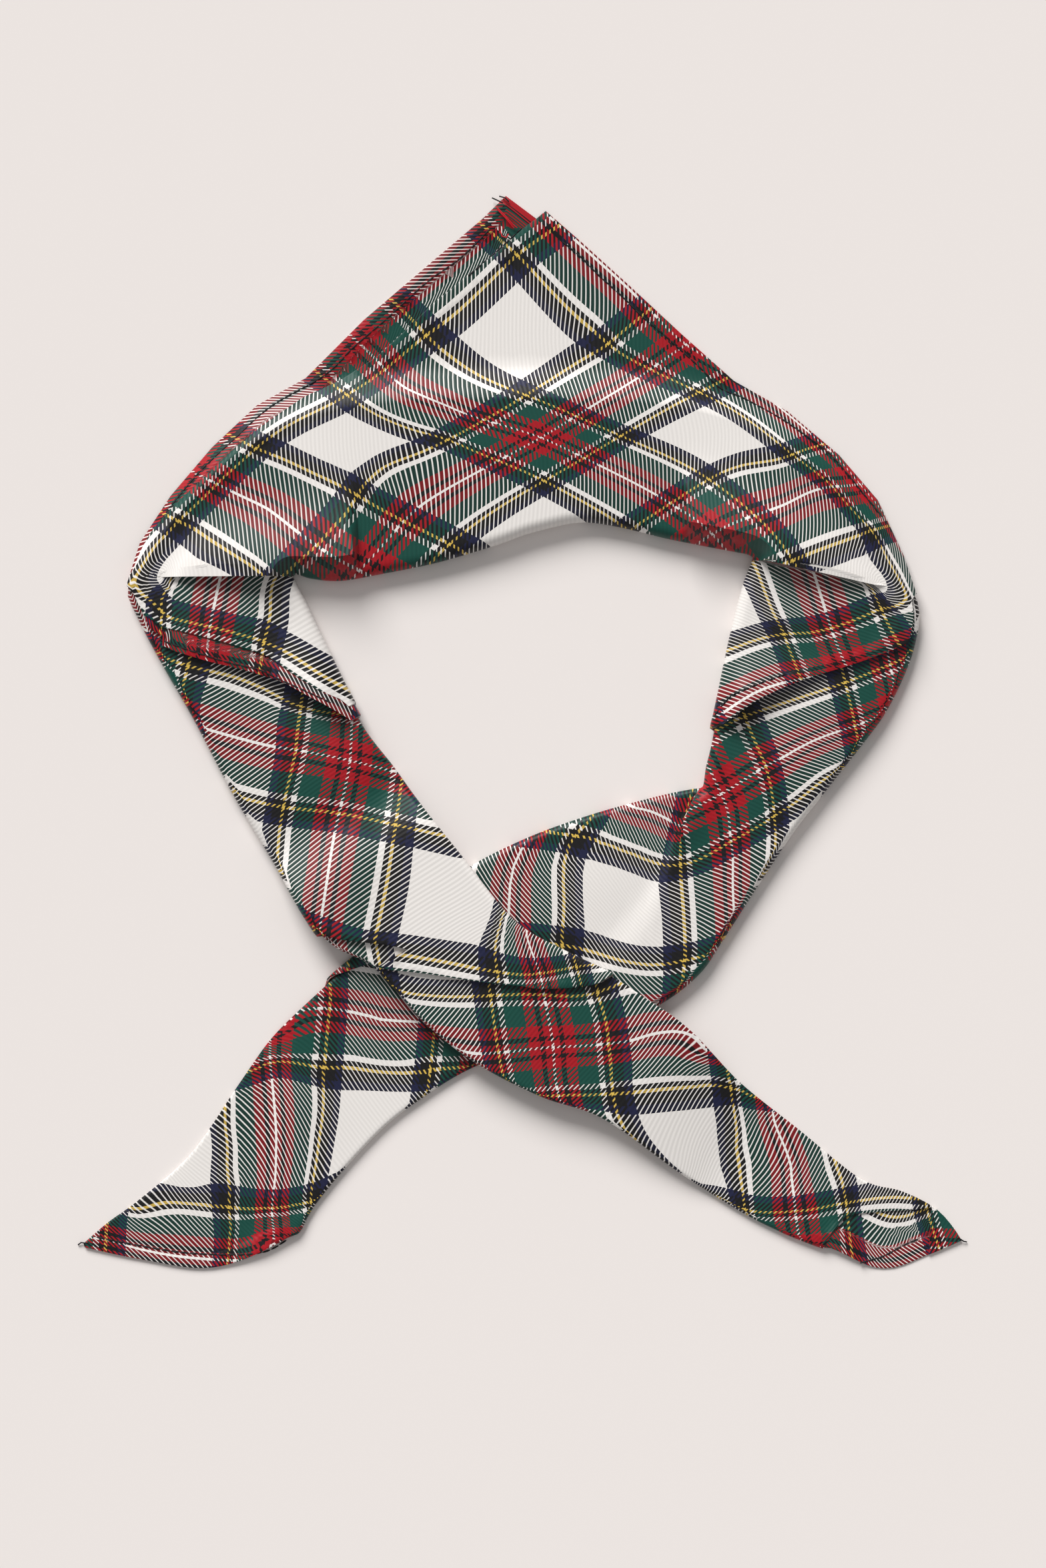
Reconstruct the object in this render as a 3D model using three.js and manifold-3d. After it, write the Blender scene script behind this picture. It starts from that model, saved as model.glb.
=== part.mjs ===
import * as THREE from "three";
import Module from "manifold-3d";

const wasm = await Module();
wasm.setup();

// Sizes in millimetres, seen from above with +Y towards the apex
const SHEET = 1.0;
const PITCH = 1.4;
const CROSS_RISE = 5.6;
const TURN = 0.06;
const FLAP_SLOPE = 0.55;
const ROW_STEP = 10.5;
const FOLD_STEPS = 4;
const RAMP = 0.26;
const RAMP_AHEAD = 0.15;

// The band seen from one tail's tip to the other. reach is where the hem lies across the rolled cloth, in band
// widths from its core: 0 to 1 the first front layer, then back, front, back and the top sheet from 4 on.
const leftStrand = [
  { reach: 0, inner: [140.5, -161.6], outer: [140.9, -162.4] },
  { reach: 0.33, inner: [133.2, -153.0], outer: [130.4, -166.9] },
  { reach: 0.66, inner: [121.9, -147.0], outer: [116.1, -171.4] },
  { reach: 1, inner: [108.6, -143.0], outer: [98.5, -165.8] },
  { reach: 1.3, inner: [88.3, -126.9], outer: [75.4, -156.2] },
  { reach: 1.55, inner: [69.0, -111.3], outer: [51.9, -141.7] },
  { reach: 1.75, inner: [53.0, -93.7], outer: [26.2, -123.3] },
  { reach: 1.88, inner: [41.8, -84.7], outer: [5.9, -116.0] },
  { reach: 2, inner: [30.5, -77.0], outer: [-14.2, -105.7] },
  { reach: 2.35, inner: [14.4, -69.3], outer: [-30.5, -93.1] },
  { reach: 2.7, inner: [-2.2, -59.5], outer: [-47.6, -74.9] },
  { reach: 3, inner: [-19.4, -38.5], outer: [-64.5, -65.9] },
  { reach: 3.5, inner: [-36.9, -16.1], outer: [-80.1, -40.7] },
  { reach: 4, inner: [-50.4, 4.7], outer: [-92.6, -19.7] },
  { reach: 4.5, inner: [-64.1, 32.1], outer: [-105.4, 4.7] },
  { reach: 4.75, inner: [-68.4, 41.1], outer: [-115.0, 21.4] },
  { reach: 5, inner: [-71.6, 47.1], outer: [-123.4, 37.4] },
];

// The top band, from the left bend over the apex to the right bend; the sheet on top runs on to its free hem
const topBand = [
  { inner: [-72.9, 49.9], outer: [-126.4, 47.5], hem: [-126.4, 47.5] },
  { inner: [-72.9, 50.5], outer: [-118.7, 61.6], hem: [-122.5, 61.0] },
  { inner: [-72.2, 50.9], outer: [-107.1, 78.1], hem: [-112.7, 76.2] },
  { inner: [-70.7, 50.5], outer: [-93.6, 91.0], hem: [-99.4, 91.8] },
  { inner: [-66.9, 49.4], outer: [-79.3, 99.9], hem: [-85.1, 105.3] },
  { inner: [-57.9, 48.8], outer: [-63.0, 105.9], hem: [-69.4, 114.1] },
  { inner: [-44.4, 51.1], outer: [-45.9, 108.7], hem: [-50.8, 132.7] },
  { inner: [-27.3, 54.6], outer: [-27.3, 109.8], hem: [-30.1, 150.4] },
  { inner: [-9.1, 59.9], outer: [-8.7, 110.2], hem: [-12.9, 165.0] },
  { inner: [4.0, 64.4], outer: [3.6, 110.4], hem: [3.2, 165.0] },
  { inner: [18.3, 67.4], outer: [16.2, 110.0], hem: [7.6, 167.6] },
  { inner: [30.5, 66.1], outer: [27.7, 109.6], hem: [19.2, 157.5] },
  { inner: [45.5, 62.5], outer: [42.3, 108.5], hem: [34.1, 144.0] },
  { inner: [58.3, 59.9], outer: [57.2, 105.9], hem: [51.3, 128.0] },
  { inner: [67.3, 58.2], outer: [71.8, 101.0], hem: [67.9, 113.2] },
  { inner: [71.6, 57.4], outer: [85.1, 94.2], hem: [85.1, 103.4] },
  { inner: [73.3, 56.7], outer: [98.3, 83.9], hem: [101.5, 89.5] },
  { inner: [73.7, 56.3], outer: [109.9, 71.0], hem: [114.0, 74.9] },
  { inner: [73.7, 55.9], outer: [118.4, 56.5], hem: [122.3, 56.9] },
  { inner: [73.5, 55.4], outer: [127.0, 41.7], hem: [127.0, 41.7] },
];

const rightStrand = [
  { reach: 5, inner: [70.5, 47.9], outer: [125.9, 28.2] },
  { reach: 4.75, inner: [67.9, 38.1], outer: [121.4, 16.1] },
  { reach: 4.5, inner: [65.4, 27.4], outer: [116.1, 6.0] },
  { reach: 4.25, inner: [62.6, 13.9], outer: [110.5, -1.7] },
  { reach: 4, inner: [59.8, 0.4], outer: [103.9, -10.1] },
  { reach: 3.8, inner: [58.5, -8.6], outer: [96.2, -19.9] },
  { reach: 3.6, inner: [57.9, -15.4], outer: [86.1, -33.6], bow: [69.0, -30.0] },
  { reach: 3.5, inner: [57.2, -17.1], outer: [65.4, -66.8], bow: [50.8, -40.7] },
  { reach: 3.4, inner: [54.0, -17.8], outer: [56.2, -78.8], bow: [47.6, -44.9] },
  { reach: 3.2, inner: [42.3, -20.3], outer: [41.2, -88.8], bow: [39.1, -52.4] },
  { reach: 3, inner: [20.9, -26.1], outer: [18.7, -96.7] },
  { reach: 2.7, inner: [0.1, -33.8], outer: [1.6, -101.6] },
  { reach: 2.4, inner: [-19.8, -44.3], outer: [-10.2, -104.9] },
  { reach: 2.2, inner: [-43.3, -62.5], outer: [-19.8, -109.1] },
  { reach: 2, inner: [-64.7, -80.2], outer: [-30.5, -115.8] },
  { reach: 1.7, inner: [-78.6, -95.7], outer: [-43.3, -125.4] },
  { reach: 1.4, inner: [-90.4, -112.3], outer: [-57.0, -139.7] },
  { reach: 1.15, inner: [-101.5, -129.0], outer: [-67.3, -152.4] },
  { reach: 1, inner: [-109.7, -138.7], outer: [-74.4, -162.2] },
  { reach: 0.66, inner: [-123.6, -150.4], outer: [-99.0, -171.0] },
  { reach: 0.33, inner: [-132.6, -156.9], outer: [-122.1, -168.4] },
  { reach: 0, inner: [-140.5, -163.7], outer: [-140.1, -164.6] },
];

// Where the left strand climbs over the right one, by its reach
const crossing = { climbFrom: 1.42, topFrom: 1.76, topTo: 3.2, climbTo: 3.58 };

// Soft swells that lift the layers a little, by place, radius and gain
const swells = [
  { at: [-62, -12], radius: 17, gain: 0.3 },
  { at: [-92, 34], radius: 15, gain: 0.18 },
  { at: [-70, 74], radius: 20, gain: 0.14 },
  { at: [0, 84], radius: 26, gain: 0.12 },
  { at: [78, 74], radius: 20, gain: 0.14 },
  { at: [96, 6], radius: 15, gain: 0.18 },
  { at: [80, -14], radius: 12, gain: 0.22 },
  { at: [26, -46], radius: 18, gain: 0.3 },
  { at: [-74, -118], radius: 14, gain: 0.35 },
  { at: [-112, -156], radius: 11, gain: 0.5 },
  { at: [96, -148], radius: 12, gain: 0.4 },
];

// Darts where the cloth folds over itself at the bends, each with its crease and the height it lies on
const darts = [
  { crease: [[-114.5, 51.9], [-100, 52.4], [-86, 51.6], [-76, 50.6]], side: 1, depth: 12, on: 6.6, step: 1.0 },
  { crease: [[115.5, 47.2], [104, 50.4], [90, 53.6], [77, 56.4]], side: 1, depth: 12, on: 6.6, step: 1.0 },
  { crease: [[57.5, -21], [56.4, -25.5], [53.6, -31], [50.5, -36]], side: 1, depth: 11, on: 3.8, step: 1.0 },
];

// The lower ply's hem that shows beyond the top sheet, up the left side of the apex
const hemStrip = {
  thick: 0.55,
  inner: [[-108, 78], [-92, 92], [-78, 103], [-58, 118], [-40, 134], [-22, 149], [-6, 160], [2, 160]],
  outer: [[-113.4, 75.3], [-99.4, 92.4], [-84.4, 106.9], [-64.1, 118.6], [-40.1, 140.6], [-23.0, 156.6], [-5.3, 172.5],
    [4.2, 165.4]],
};

const lerp = (a, b, t) => a + (b - a) * t;
const mix = (p, q, t) => [lerp(p[0], q[0], t), lerp(p[1], q[1], t)];
const clamp01 = (t) => Math.min(1, Math.max(0, t));

function ease(t) {
  const c = clamp01(t);
  return c * c * (3 - 2 * c);
}

function ramp(t, from, to) {
  return ease((t - from) / (to - from));
}

// Smooth curve through four neighbouring values
function curve(a, b, c, d, t) {
  const m0 = (c - a) / 2;
  const m1 = (d - b) / 2;
  const t2 = t * t;
  const t3 = t2 * t;
  return (2 * t3 - 3 * t2 + 1) * b + (t3 - 2 * t2 + t) * m0 + (3 * t2 - 2 * t3) * c + (t3 - t2) * m1;
}

function curvePoint(points, i, t) {
  const a = points[Math.max(0, i - 1)];
  const b = points[i];
  const c = points[i + 1];
  const d = points[Math.min(points.length - 1, i + 2)];
  return [curve(a[0], b[0], c[0], d[0], t), curve(a[1], b[1], c[1], d[1], t)];
}

// One table row becomes a station with every field filled in
function station(row, side) {
  const middle = mix(row.inner, row.outer, 0.5);
  return {
    side,
    reach: row.reach ?? 5,
    inner: row.inner,
    outer: row.outer,
    bow: row.bow ?? middle,
    hem: row.hem ?? row.outer,
    flap: row.hem ? 1 : 0,
  };
}

const tableStations = [
  ...leftStrand.map((row) => station(row, "left")),
  ...topBand.map((row) => station(row, "top")),
  ...rightStrand.map((row) => station(row, "right")),
];

function between(i, t) {
  const a = tableStations[i];
  const b = tableStations[i + 1];
  const pick = (key) => curvePoint(tableStations.map((s) => s[key]), i, t);
  return {
    side: t < 0.5 ? a.side : b.side,
    reach: lerp(a.reach, b.reach, t),
    inner: pick("inner"),
    outer: pick("outer"),
    bow: pick("bow"),
    hem: mix(a.hem, b.hem, t),
    flap: a.flap && b.flap ? 1 : 0,
  };
}

function distance(p, q) {
  return Math.hypot(p[0] - q[0], p[1] - q[1]);
}

// Table stations, with more between them where they lie far apart and where a fold starts
function allStations() {
  const list = [];
  const last = tableStations.length - 1;
  for (let i = 0; i < last; i += 1) {
    const a = tableStations[i];
    const b = tableStations[i + 1];
    const far = Math.max(distance(a.inner, b.inner), distance(a.outer, b.outer));
    const count = Math.max(1, Math.round(far / ROW_STEP));
    const stops = new Set();
    for (let k = 0; k < count; k += 1) {
      stops.add(k / count);
    }
    const starts = [1, 2, 3, 4].flatMap((n) => [n, n + TURN / 2, n + TURN]);
    const turns = starts.map((value) => (value - a.reach) / (b.reach - a.reach)).filter((t) => t > 0 && t < 1);
    const kept = [...stops].filter((t) => t === 0 || turns.every((u) => Math.abs(u - t) > 0.06));
    for (const t of [...kept, ...turns].sort((p, q) => p - q)) {
      list.push(between(i, t));
    }
  }
  list.push(tableStations[last]);
  return list;
}

// How far the hem of a back layer lies from the inner edge, as a share of the width
function hemShare(reach, fold) {
  return 1 - (reach - fold - TURN) / (1 - TURN);
}

function cover(share, reach, fold) {
  return ease((share - hemShare(reach, fold) + RAMP_AHEAD) / RAMP + 1);
}

function insets(reach) {
  const edge = SHEET / 2;
  const first = (0.5 * PITCH + edge) * ramp(reach, 0.7, 1);
  return {
    outer: first + PITCH * ramp(reach, 2.6, 3),
    inner: (PITCH + edge) * ramp(reach, 1.6, 2) + PITCH * ramp(reach, 3.6, 4),
  };
}

function crossLift(st) {
  if (st.side !== "left") {
    return 0;
  }
  const up = ramp(st.reach, crossing.climbFrom, crossing.topFrom);
  return CROSS_RISE * up * (1 - ramp(st.reach, crossing.topTo, crossing.climbTo));
}

function swell(x, y) {
  let gain = 0;
  for (const s of swells) {
    const d = Math.hypot(x - s.at[0], y - s.at[1]) / s.radius;
    gain += s.gain * Math.exp(-d * d);
  }
  return 1 + gain;
}

function widthPoint(st, g) {
  const middle = mix(st.inner, st.outer, 0.5);
  const p = mix(st.inner, st.outer, g);
  const bulge = 4 * g * (1 - g);
  return [p[0] + bulge * (st.bow[0] - middle[0]), p[1] + bulge * (st.bow[1] - middle[1])];
}

// Heights of the layers' middles at a share of the width
function levels(share, reach) {
  const one = cover(share, reach, 1);
  const two = cover(share, reach, 3);
  const base = SHEET / 2;
  return [
    base + PITCH * (one + two),
    base + PITCH * two,
    base + PITCH * (1 + one + two),
    base,
    base + PITCH * (2 + one + two),
  ];
}

// Shares at which every layer of a row is sampled, so that they keep apart
function rowShares(reach) {
  const marks = [0, 1];
  for (const fold of [1, 3]) {
    const hem = hemShare(reach, fold);
    marks.push(hem - RAMP_AHEAD - RAMP, hem - RAMP_AHEAD - RAMP / 2, hem - RAMP_AHEAD);
  }
  const inside = marks.filter((m) => m >= 0 && m <= 1).sort((a, b) => a - b);
  const shares = [inside[0]];
  for (const mark of inside.slice(1)) {
    const gap = mark - shares[shares.length - 1];
    if (gap < 0.05 && mark < 1) {
      continue;
    }
    if (gap > 0.4) {
      shares.push(mark - gap / 2);
    }
    shares.push(mark);
  }
  return shares;
}

// One row of the cloth from its core to its hem, as pairs of points on its outward and inward faces
function sectionRow(st) {
  const { reach } = st;
  const inset = insets(reach);
  const width = distance(st.inner, st.outer);
  const from = inset.inner / width;
  const to = 1 - inset.outer / width;
  const lift = crossLift(st);
  const row = [];

  const place = (p, z) => [p[0], p[1], (z + lift) * swell(p[0], p[1])];
  const flat = (key, p, z, sign) => {
    row.push({ key, out: place(p, z + sign * SHEET / 2), inn: place(p, z - sign * SHEET / 2) });
  };

  const shares = rowShares(reach);
  for (let layer = 0; layer <= 4; layer += 1) {
    const start = layer === 0 ? 0 : layer + TURN;
    if (reach < start) {
      break;
    }
    const front = layer % 2 === 0;
    const end = Math.min(reach, layer + 1);
    const done = layer === 0 ? 1 : (end - start) / (1 - TURN);
    const steps = (front ? shares : shares.map((s) => 1 - s).reverse()).filter((s) => s < done - 0.03);
    for (const s of [...steps, done]) {
      const share = front ? s : 1 - s;
      const g = lerp(from, to, share);
      const key = start + s * (layer + 1 - start);
      flat(key, widthPoint(st, g), levels(share, reach)[layer], front ? 1 : -1);
    }
    const fold = layer + 1;
    if (reach <= fold || fold > 4) {
      continue;
    }
    // The fold at the end of this layer, a half turn about the edge
    const atOuter = fold % 2 === 1;
    const edgeShare = atOuter ? 1 : 0;
    const z = levels(edgeShare, reach);
    const centre = widthPoint(st, atOuter ? to : from);
    const ahead = widthPoint(st, atOuter ? 1 : 0);
    const run = Math.max(distance(centre, ahead), 1e-6);
    const away = [(ahead[0] - centre[0]) / run, (ahead[1] - centre[1]) / run];
    const middle = (z[layer] + z[layer + 1]) / 2;
    const radius = (z[layer] - z[layer + 1]) / 2;
    const turn = Math.PI * Math.min(1, (reach - fold) / TURN);
    for (let k = 1; k <= FOLD_STEPS; k += 1) {
      const whole = (k * Math.PI) / FOLD_STEPS;
      const last = k === FOLD_STEPS || whole > turn - 1e-6;
      const angle = Math.min(whole, turn);
      if (k === FOLD_STEPS && turn > Math.PI - 1e-6) {
        break;
      }
      const ring = (r) => {
        const s = Math.sin(angle) * Math.abs(r);
        return place([centre[0] + away[0] * s, centre[1] + away[1] * s], middle + Math.cos(angle) * r);
      };
      const sign = Math.sign(radius);
      row.push({
        key: fold + (TURN * angle) / Math.PI,
        out: ring(radius + sign * SHEET / 2),
        inn: ring(radius - sign * SHEET / 2),
      });
      if (last) {
        break;
      }
    }
  }

  // The top sheet runs on past the roll, down to the table and out to its hem
  if (st.flap) {
    const edge = widthPoint(st, to);
    const top = levels(1, reach)[4];
    const span = distance(edge, st.hem);
    const drop = (top - SHEET / 2) / FLAP_SLOPE;
    const steps = [0.25, 0.5, 0.75, 1].map((s) => (s * drop) / span).filter((s) => s < 0.94);
    if (span > drop * 1.5) {
      steps.push((1 + drop / span) / 2);
    }
    for (const s of [...steps, 1]) {
      const fall = ease((s * span) / drop);
      flat(5 + s, mix(edge, st.hem, s), lerp(top, SHEET / 2, fall), 1);
    }
  }
  return row;
}

// Rows of paired points become one closed mesh, whatever the number of points in each
function shell(rows) {
  const points = [];
  const faces = [];
  const index = rows.map((row) => row.map((pair) => {
    points.push(pair.out, pair.inn);
    return points.length - 2;
  }));
  const quad = (a, b, c, d) => faces.push([a, b, c], [a, c, d]);
  const cap = (row) => {
    for (let i = 0; i + 1 < row.length; i += 1) {
      quad(row[i], row[i + 1], row[i + 1] + 1, row[i] + 1);
    }
  };
  for (let r = 0; r + 1 < rows.length; r += 1) {
    const a = index[r];
    const b = index[r + 1];
    let i = 0;
    let j = 0;
    while (i + 1 < a.length || j + 1 < b.length) {
      const nextA = i + 1 < a.length ? rows[r][i + 1].key : Infinity;
      const nextB = j + 1 < b.length ? rows[r + 1][j + 1].key : Infinity;
      if (nextA <= nextB) {
        faces.push([a[i], b[j], a[i + 1]]);
        faces.push([a[i] + 1, a[i + 1] + 1, b[j] + 1]);
        i += 1;
      } else {
        faces.push([a[i], b[j], b[j + 1]]);
        faces.push([a[i] + 1, b[j + 1] + 1, b[j] + 1]);
        j += 1;
      }
    }
    quad(a[0], a[0] + 1, b[0] + 1, b[0]);
    const endA = a[a.length - 1];
    const endB = b[b.length - 1];
    quad(endA, endB, endB + 1, endA + 1);
  }
  cap(index[0]);
  cap(index[index.length - 1].slice().reverse());
  return closedMesh(points, faces);
}

function closedMesh(points, faces) {
  let volume = 0;
  for (const [a, b, c] of faces) {
    const [p, q, r] = [points[a], points[b], points[c]];
    volume += p[0] * (q[1] * r[2] - q[2] * r[1]);
    volume += p[1] * (q[2] * r[0] - q[0] * r[2]);
    volume += p[2] * (q[0] * r[1] - q[1] * r[0]);
  }
  const order = volume < 0 ? faces.map(([a, b, c]) => [a, c, b]) : faces;
  const mesh = new wasm.Mesh({
    numProp: 3,
    vertProperties: new Float32Array(points.flat()),
    triVerts: new Uint32Array(order.flat()),
  });
  return new wasm.Manifold(mesh);
}

// A wedge that steps up at its crease and thins out away from it
function dart({ crease, side, depth, on, step }) {
  const rows = [];
  const last = crease.length - 1;
  for (let i = 0; i < last * 3 + 1; i += 1) {
    const t = i / 3;
    const k = Math.min(last - 1, Math.floor(t));
    const p = curvePoint(crease, k, t - k);
    const ahead = crease[k + 1];
    const back = crease[k];
    const run = distance(back, ahead);
    const normal = [(-side * (ahead[1] - back[1])) / run, (side * (ahead[0] - back[0])) / run];
    const fade = 0.25 + 0.75 * ease(i / (last * 2));
    const row = [];
    for (const s of [0, 0.3, 0.65, 1]) {
      const q = [p[0] + normal[0] * depth * s, p[1] + normal[1] * depth * s];
      const gain = swell(q[0], q[1]);
      const high = on + step * fade * (1 - s) - 0.12 * s;
      row.push({ key: s, out: [...q, high * gain], inn: [...q, (on - 0.35) * gain] });
    }
    rows.push(row);
  }
  return shell(rows);
}

function strip({ thick, inner, outer }) {
  const rows = [];
  for (let i = 0; i + 1 < inner.length; i += 1) {
    for (const t of i + 2 < inner.length ? [0, 0.5] : [0, 0.5, 1]) {
      const a = curvePoint(inner, i, t);
      const b = i + 2 < inner.length ? curvePoint(outer, i, t) : mix(outer[i], outer[i + 1], t);
      rows.push([0, 0.5, 1].map((s) => {
        const p = mix(a, b, s);
        return { key: s, out: [...p, thick], inn: [...p, 0] };
      }));
    }
  }
  return shell(rows);
}

let cloth = shell(allStations().map(sectionRow));
for (const entry of darts) {
  cloth = cloth.add(dart(entry));
}
cloth = cloth.add(strip(hemStrip));

function toGeometry(solid) {
  const mesh = solid.getMesh();
  const geometry = new THREE.BufferGeometry();
  geometry.setAttribute("position", new THREE.BufferAttribute(new Float32Array(mesh.vertProperties), 3));
  geometry.setIndex(new THREE.BufferAttribute(new Uint32Array(mesh.triVerts), 1));
  geometry.computeBoundingBox();
  const middle = geometry.boundingBox.getCenter(new THREE.Vector3());
  geometry.translate(-middle.x, -middle.y, -geometry.boundingBox.min.z);
  return geometry;
}

const silk = new THREE.MeshStandardMaterial({ color: 0xb9b3a8, roughness: 0.7, metalness: 0 });

const scarf = new THREE.Mesh(toGeometry(cloth), silk);
scarf.name = "scarf";

const part = new THREE.Group();
part.add(scarf);

export default part;
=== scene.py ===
import math

import bmesh
import bpy
import numpy as np
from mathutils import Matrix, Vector
from mathutils.bvhtree import BVHTree


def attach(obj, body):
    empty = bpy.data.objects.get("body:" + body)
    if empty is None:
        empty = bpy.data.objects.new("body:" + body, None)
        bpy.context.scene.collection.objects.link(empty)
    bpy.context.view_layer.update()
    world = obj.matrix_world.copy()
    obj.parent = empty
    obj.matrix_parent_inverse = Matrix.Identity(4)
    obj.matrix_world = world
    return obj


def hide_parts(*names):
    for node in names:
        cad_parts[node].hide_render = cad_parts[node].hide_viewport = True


# Real sizes in millimetres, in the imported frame: +Y towards the apex of the triangle
sizes = {
    "sheet": 1.0,
    "ply": 0.28,
    "plyGap": 0.2,
    "pitch": 1.4,
    "crossRise": 5.6,
    "turn": 0.06,
    "flapSlope": 0.55,
    "rowStep": 3.2,
    "ramp": 0.26,
    "rampAhead": 0.15,
    "hem": 5.5,
    "hemRise": 0.16,
    "strip": 6.8,
    "stripRise": 0.22,
    "repeat": 67.8,
}
viewMm = {"height": 502.9, "centre": (0.1, -16.6), "distance": 1500.0}


def stage(name):
    print("stage:", name, flush=True)


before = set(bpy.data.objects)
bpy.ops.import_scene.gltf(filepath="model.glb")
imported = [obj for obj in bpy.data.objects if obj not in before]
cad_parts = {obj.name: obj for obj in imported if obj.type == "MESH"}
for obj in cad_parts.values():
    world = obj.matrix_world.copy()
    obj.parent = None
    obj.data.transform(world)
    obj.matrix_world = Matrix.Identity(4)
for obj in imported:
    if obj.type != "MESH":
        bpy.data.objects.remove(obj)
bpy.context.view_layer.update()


# Camera, straight above
def makeCamera():
    data = bpy.data.cameras.new("photoCamera")
    camera = bpy.data.objects.new("photoCamera", data)
    bpy.context.scene.collection.objects.link(camera)
    camera.location = (viewMm["centre"][0] / 1000, viewMm["centre"][1] / 1000, viewMm["distance"] / 1000)
    data.lens = data.sensor_width * viewMm["distance"] / viewMm["height"]
    data.clip_start = 0.05
    data.clip_end = 20.0
    bpy.context.scene.camera = camera


makeCamera()
stage("camera")


# Cloth by its stations, as the part is made: reach is where the hem lies across the roll, in band widths
leftStrand = [
    {"reach": 0, "inner": (140.5, -161.6), "outer": (140.9, -162.4)},
    {"reach": 0.33, "inner": (133.2, -153.0), "outer": (130.4, -166.9)},
    {"reach": 0.66, "inner": (121.9, -147.0), "outer": (116.1, -171.4)},
    {"reach": 1, "inner": (108.6, -143.0), "outer": (98.5, -165.8)},
    {"reach": 1.3, "inner": (88.3, -126.9), "outer": (75.4, -156.2)},
    {"reach": 1.55, "inner": (69.0, -111.3), "outer": (51.9, -141.7)},
    {"reach": 1.75, "inner": (53.0, -93.7), "outer": (26.2, -123.3)},
    {"reach": 1.88, "inner": (41.8, -84.7), "outer": (5.9, -116.0)},
    {"reach": 2, "inner": (30.5, -77.0), "outer": (-14.2, -105.7)},
    {"reach": 2.35, "inner": (14.4, -69.3), "outer": (-30.5, -93.1)},
    {"reach": 2.7, "inner": (-2.2, -59.5), "outer": (-47.6, -74.9)},
    {"reach": 3, "inner": (-19.4, -38.5), "outer": (-64.5, -65.9)},
    {"reach": 3.5, "inner": (-36.9, -16.1), "outer": (-80.1, -40.7)},
    {"reach": 4, "inner": (-50.4, 4.7), "outer": (-92.6, -19.7)},
    {"reach": 4.5, "inner": (-64.1, 32.1), "outer": (-105.4, 4.7)},
    {"reach": 4.75, "inner": (-68.4, 41.1), "outer": (-115.0, 21.4)},
    {"reach": 5, "inner": (-71.6, 47.1), "outer": (-123.4, 37.4)},
]
topBand = [
    {"inner": (-72.9, 49.9), "outer": (-126.4, 47.5), "hem": (-126.4, 47.5)},
    {"inner": (-72.9, 50.5), "outer": (-118.7, 61.6), "hem": (-122.5, 61.0)},
    {"inner": (-72.2, 50.9), "outer": (-107.1, 78.1), "hem": (-112.7, 76.2)},
    {"inner": (-70.7, 50.5), "outer": (-93.6, 91.0), "hem": (-99.4, 91.8)},
    {"inner": (-66.9, 49.4), "outer": (-79.3, 99.9), "hem": (-85.1, 105.3)},
    {"inner": (-57.9, 48.8), "outer": (-63.0, 105.9), "hem": (-69.4, 114.1)},
    {"inner": (-44.4, 51.1), "outer": (-45.9, 108.7), "hem": (-50.8, 132.7)},
    {"inner": (-27.3, 54.6), "outer": (-27.3, 109.8), "hem": (-30.1, 150.4)},
    {"inner": (-9.1, 59.9), "outer": (-8.7, 110.2), "hem": (-12.9, 165.0)},
    {"inner": (-2.6, 62.2), "outer": (-2.6, 110.3), "hem": (-5.2, 172.5)},
    {"inner": (4.0, 64.4), "outer": (3.6, 110.4), "hem": (4.3, 165.4)},
    {"inner": (18.3, 67.4), "outer": (16.2, 110.0), "hem": (7.6, 167.6)},
    {"inner": (30.5, 66.1), "outer": (27.7, 109.6), "hem": (19.2, 157.5)},
    {"inner": (45.5, 62.5), "outer": (42.3, 108.5), "hem": (34.1, 144.0)},
    {"inner": (58.3, 59.9), "outer": (57.2, 105.9), "hem": (51.3, 128.0)},
    {"inner": (67.3, 58.2), "outer": (71.8, 101.0), "hem": (67.9, 113.2)},
    {"inner": (71.6, 57.4), "outer": (85.1, 94.2), "hem": (85.1, 103.4)},
    {"inner": (73.3, 56.7), "outer": (98.3, 83.9), "hem": (101.5, 89.5)},
    {"inner": (73.7, 56.3), "outer": (109.9, 71.0), "hem": (114.0, 74.9)},
    {"inner": (73.7, 55.9), "outer": (118.4, 56.5), "hem": (122.3, 56.9)},
    {"inner": (73.5, 55.4), "outer": (127.0, 41.7), "hem": (127.0, 41.7)},
]
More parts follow.
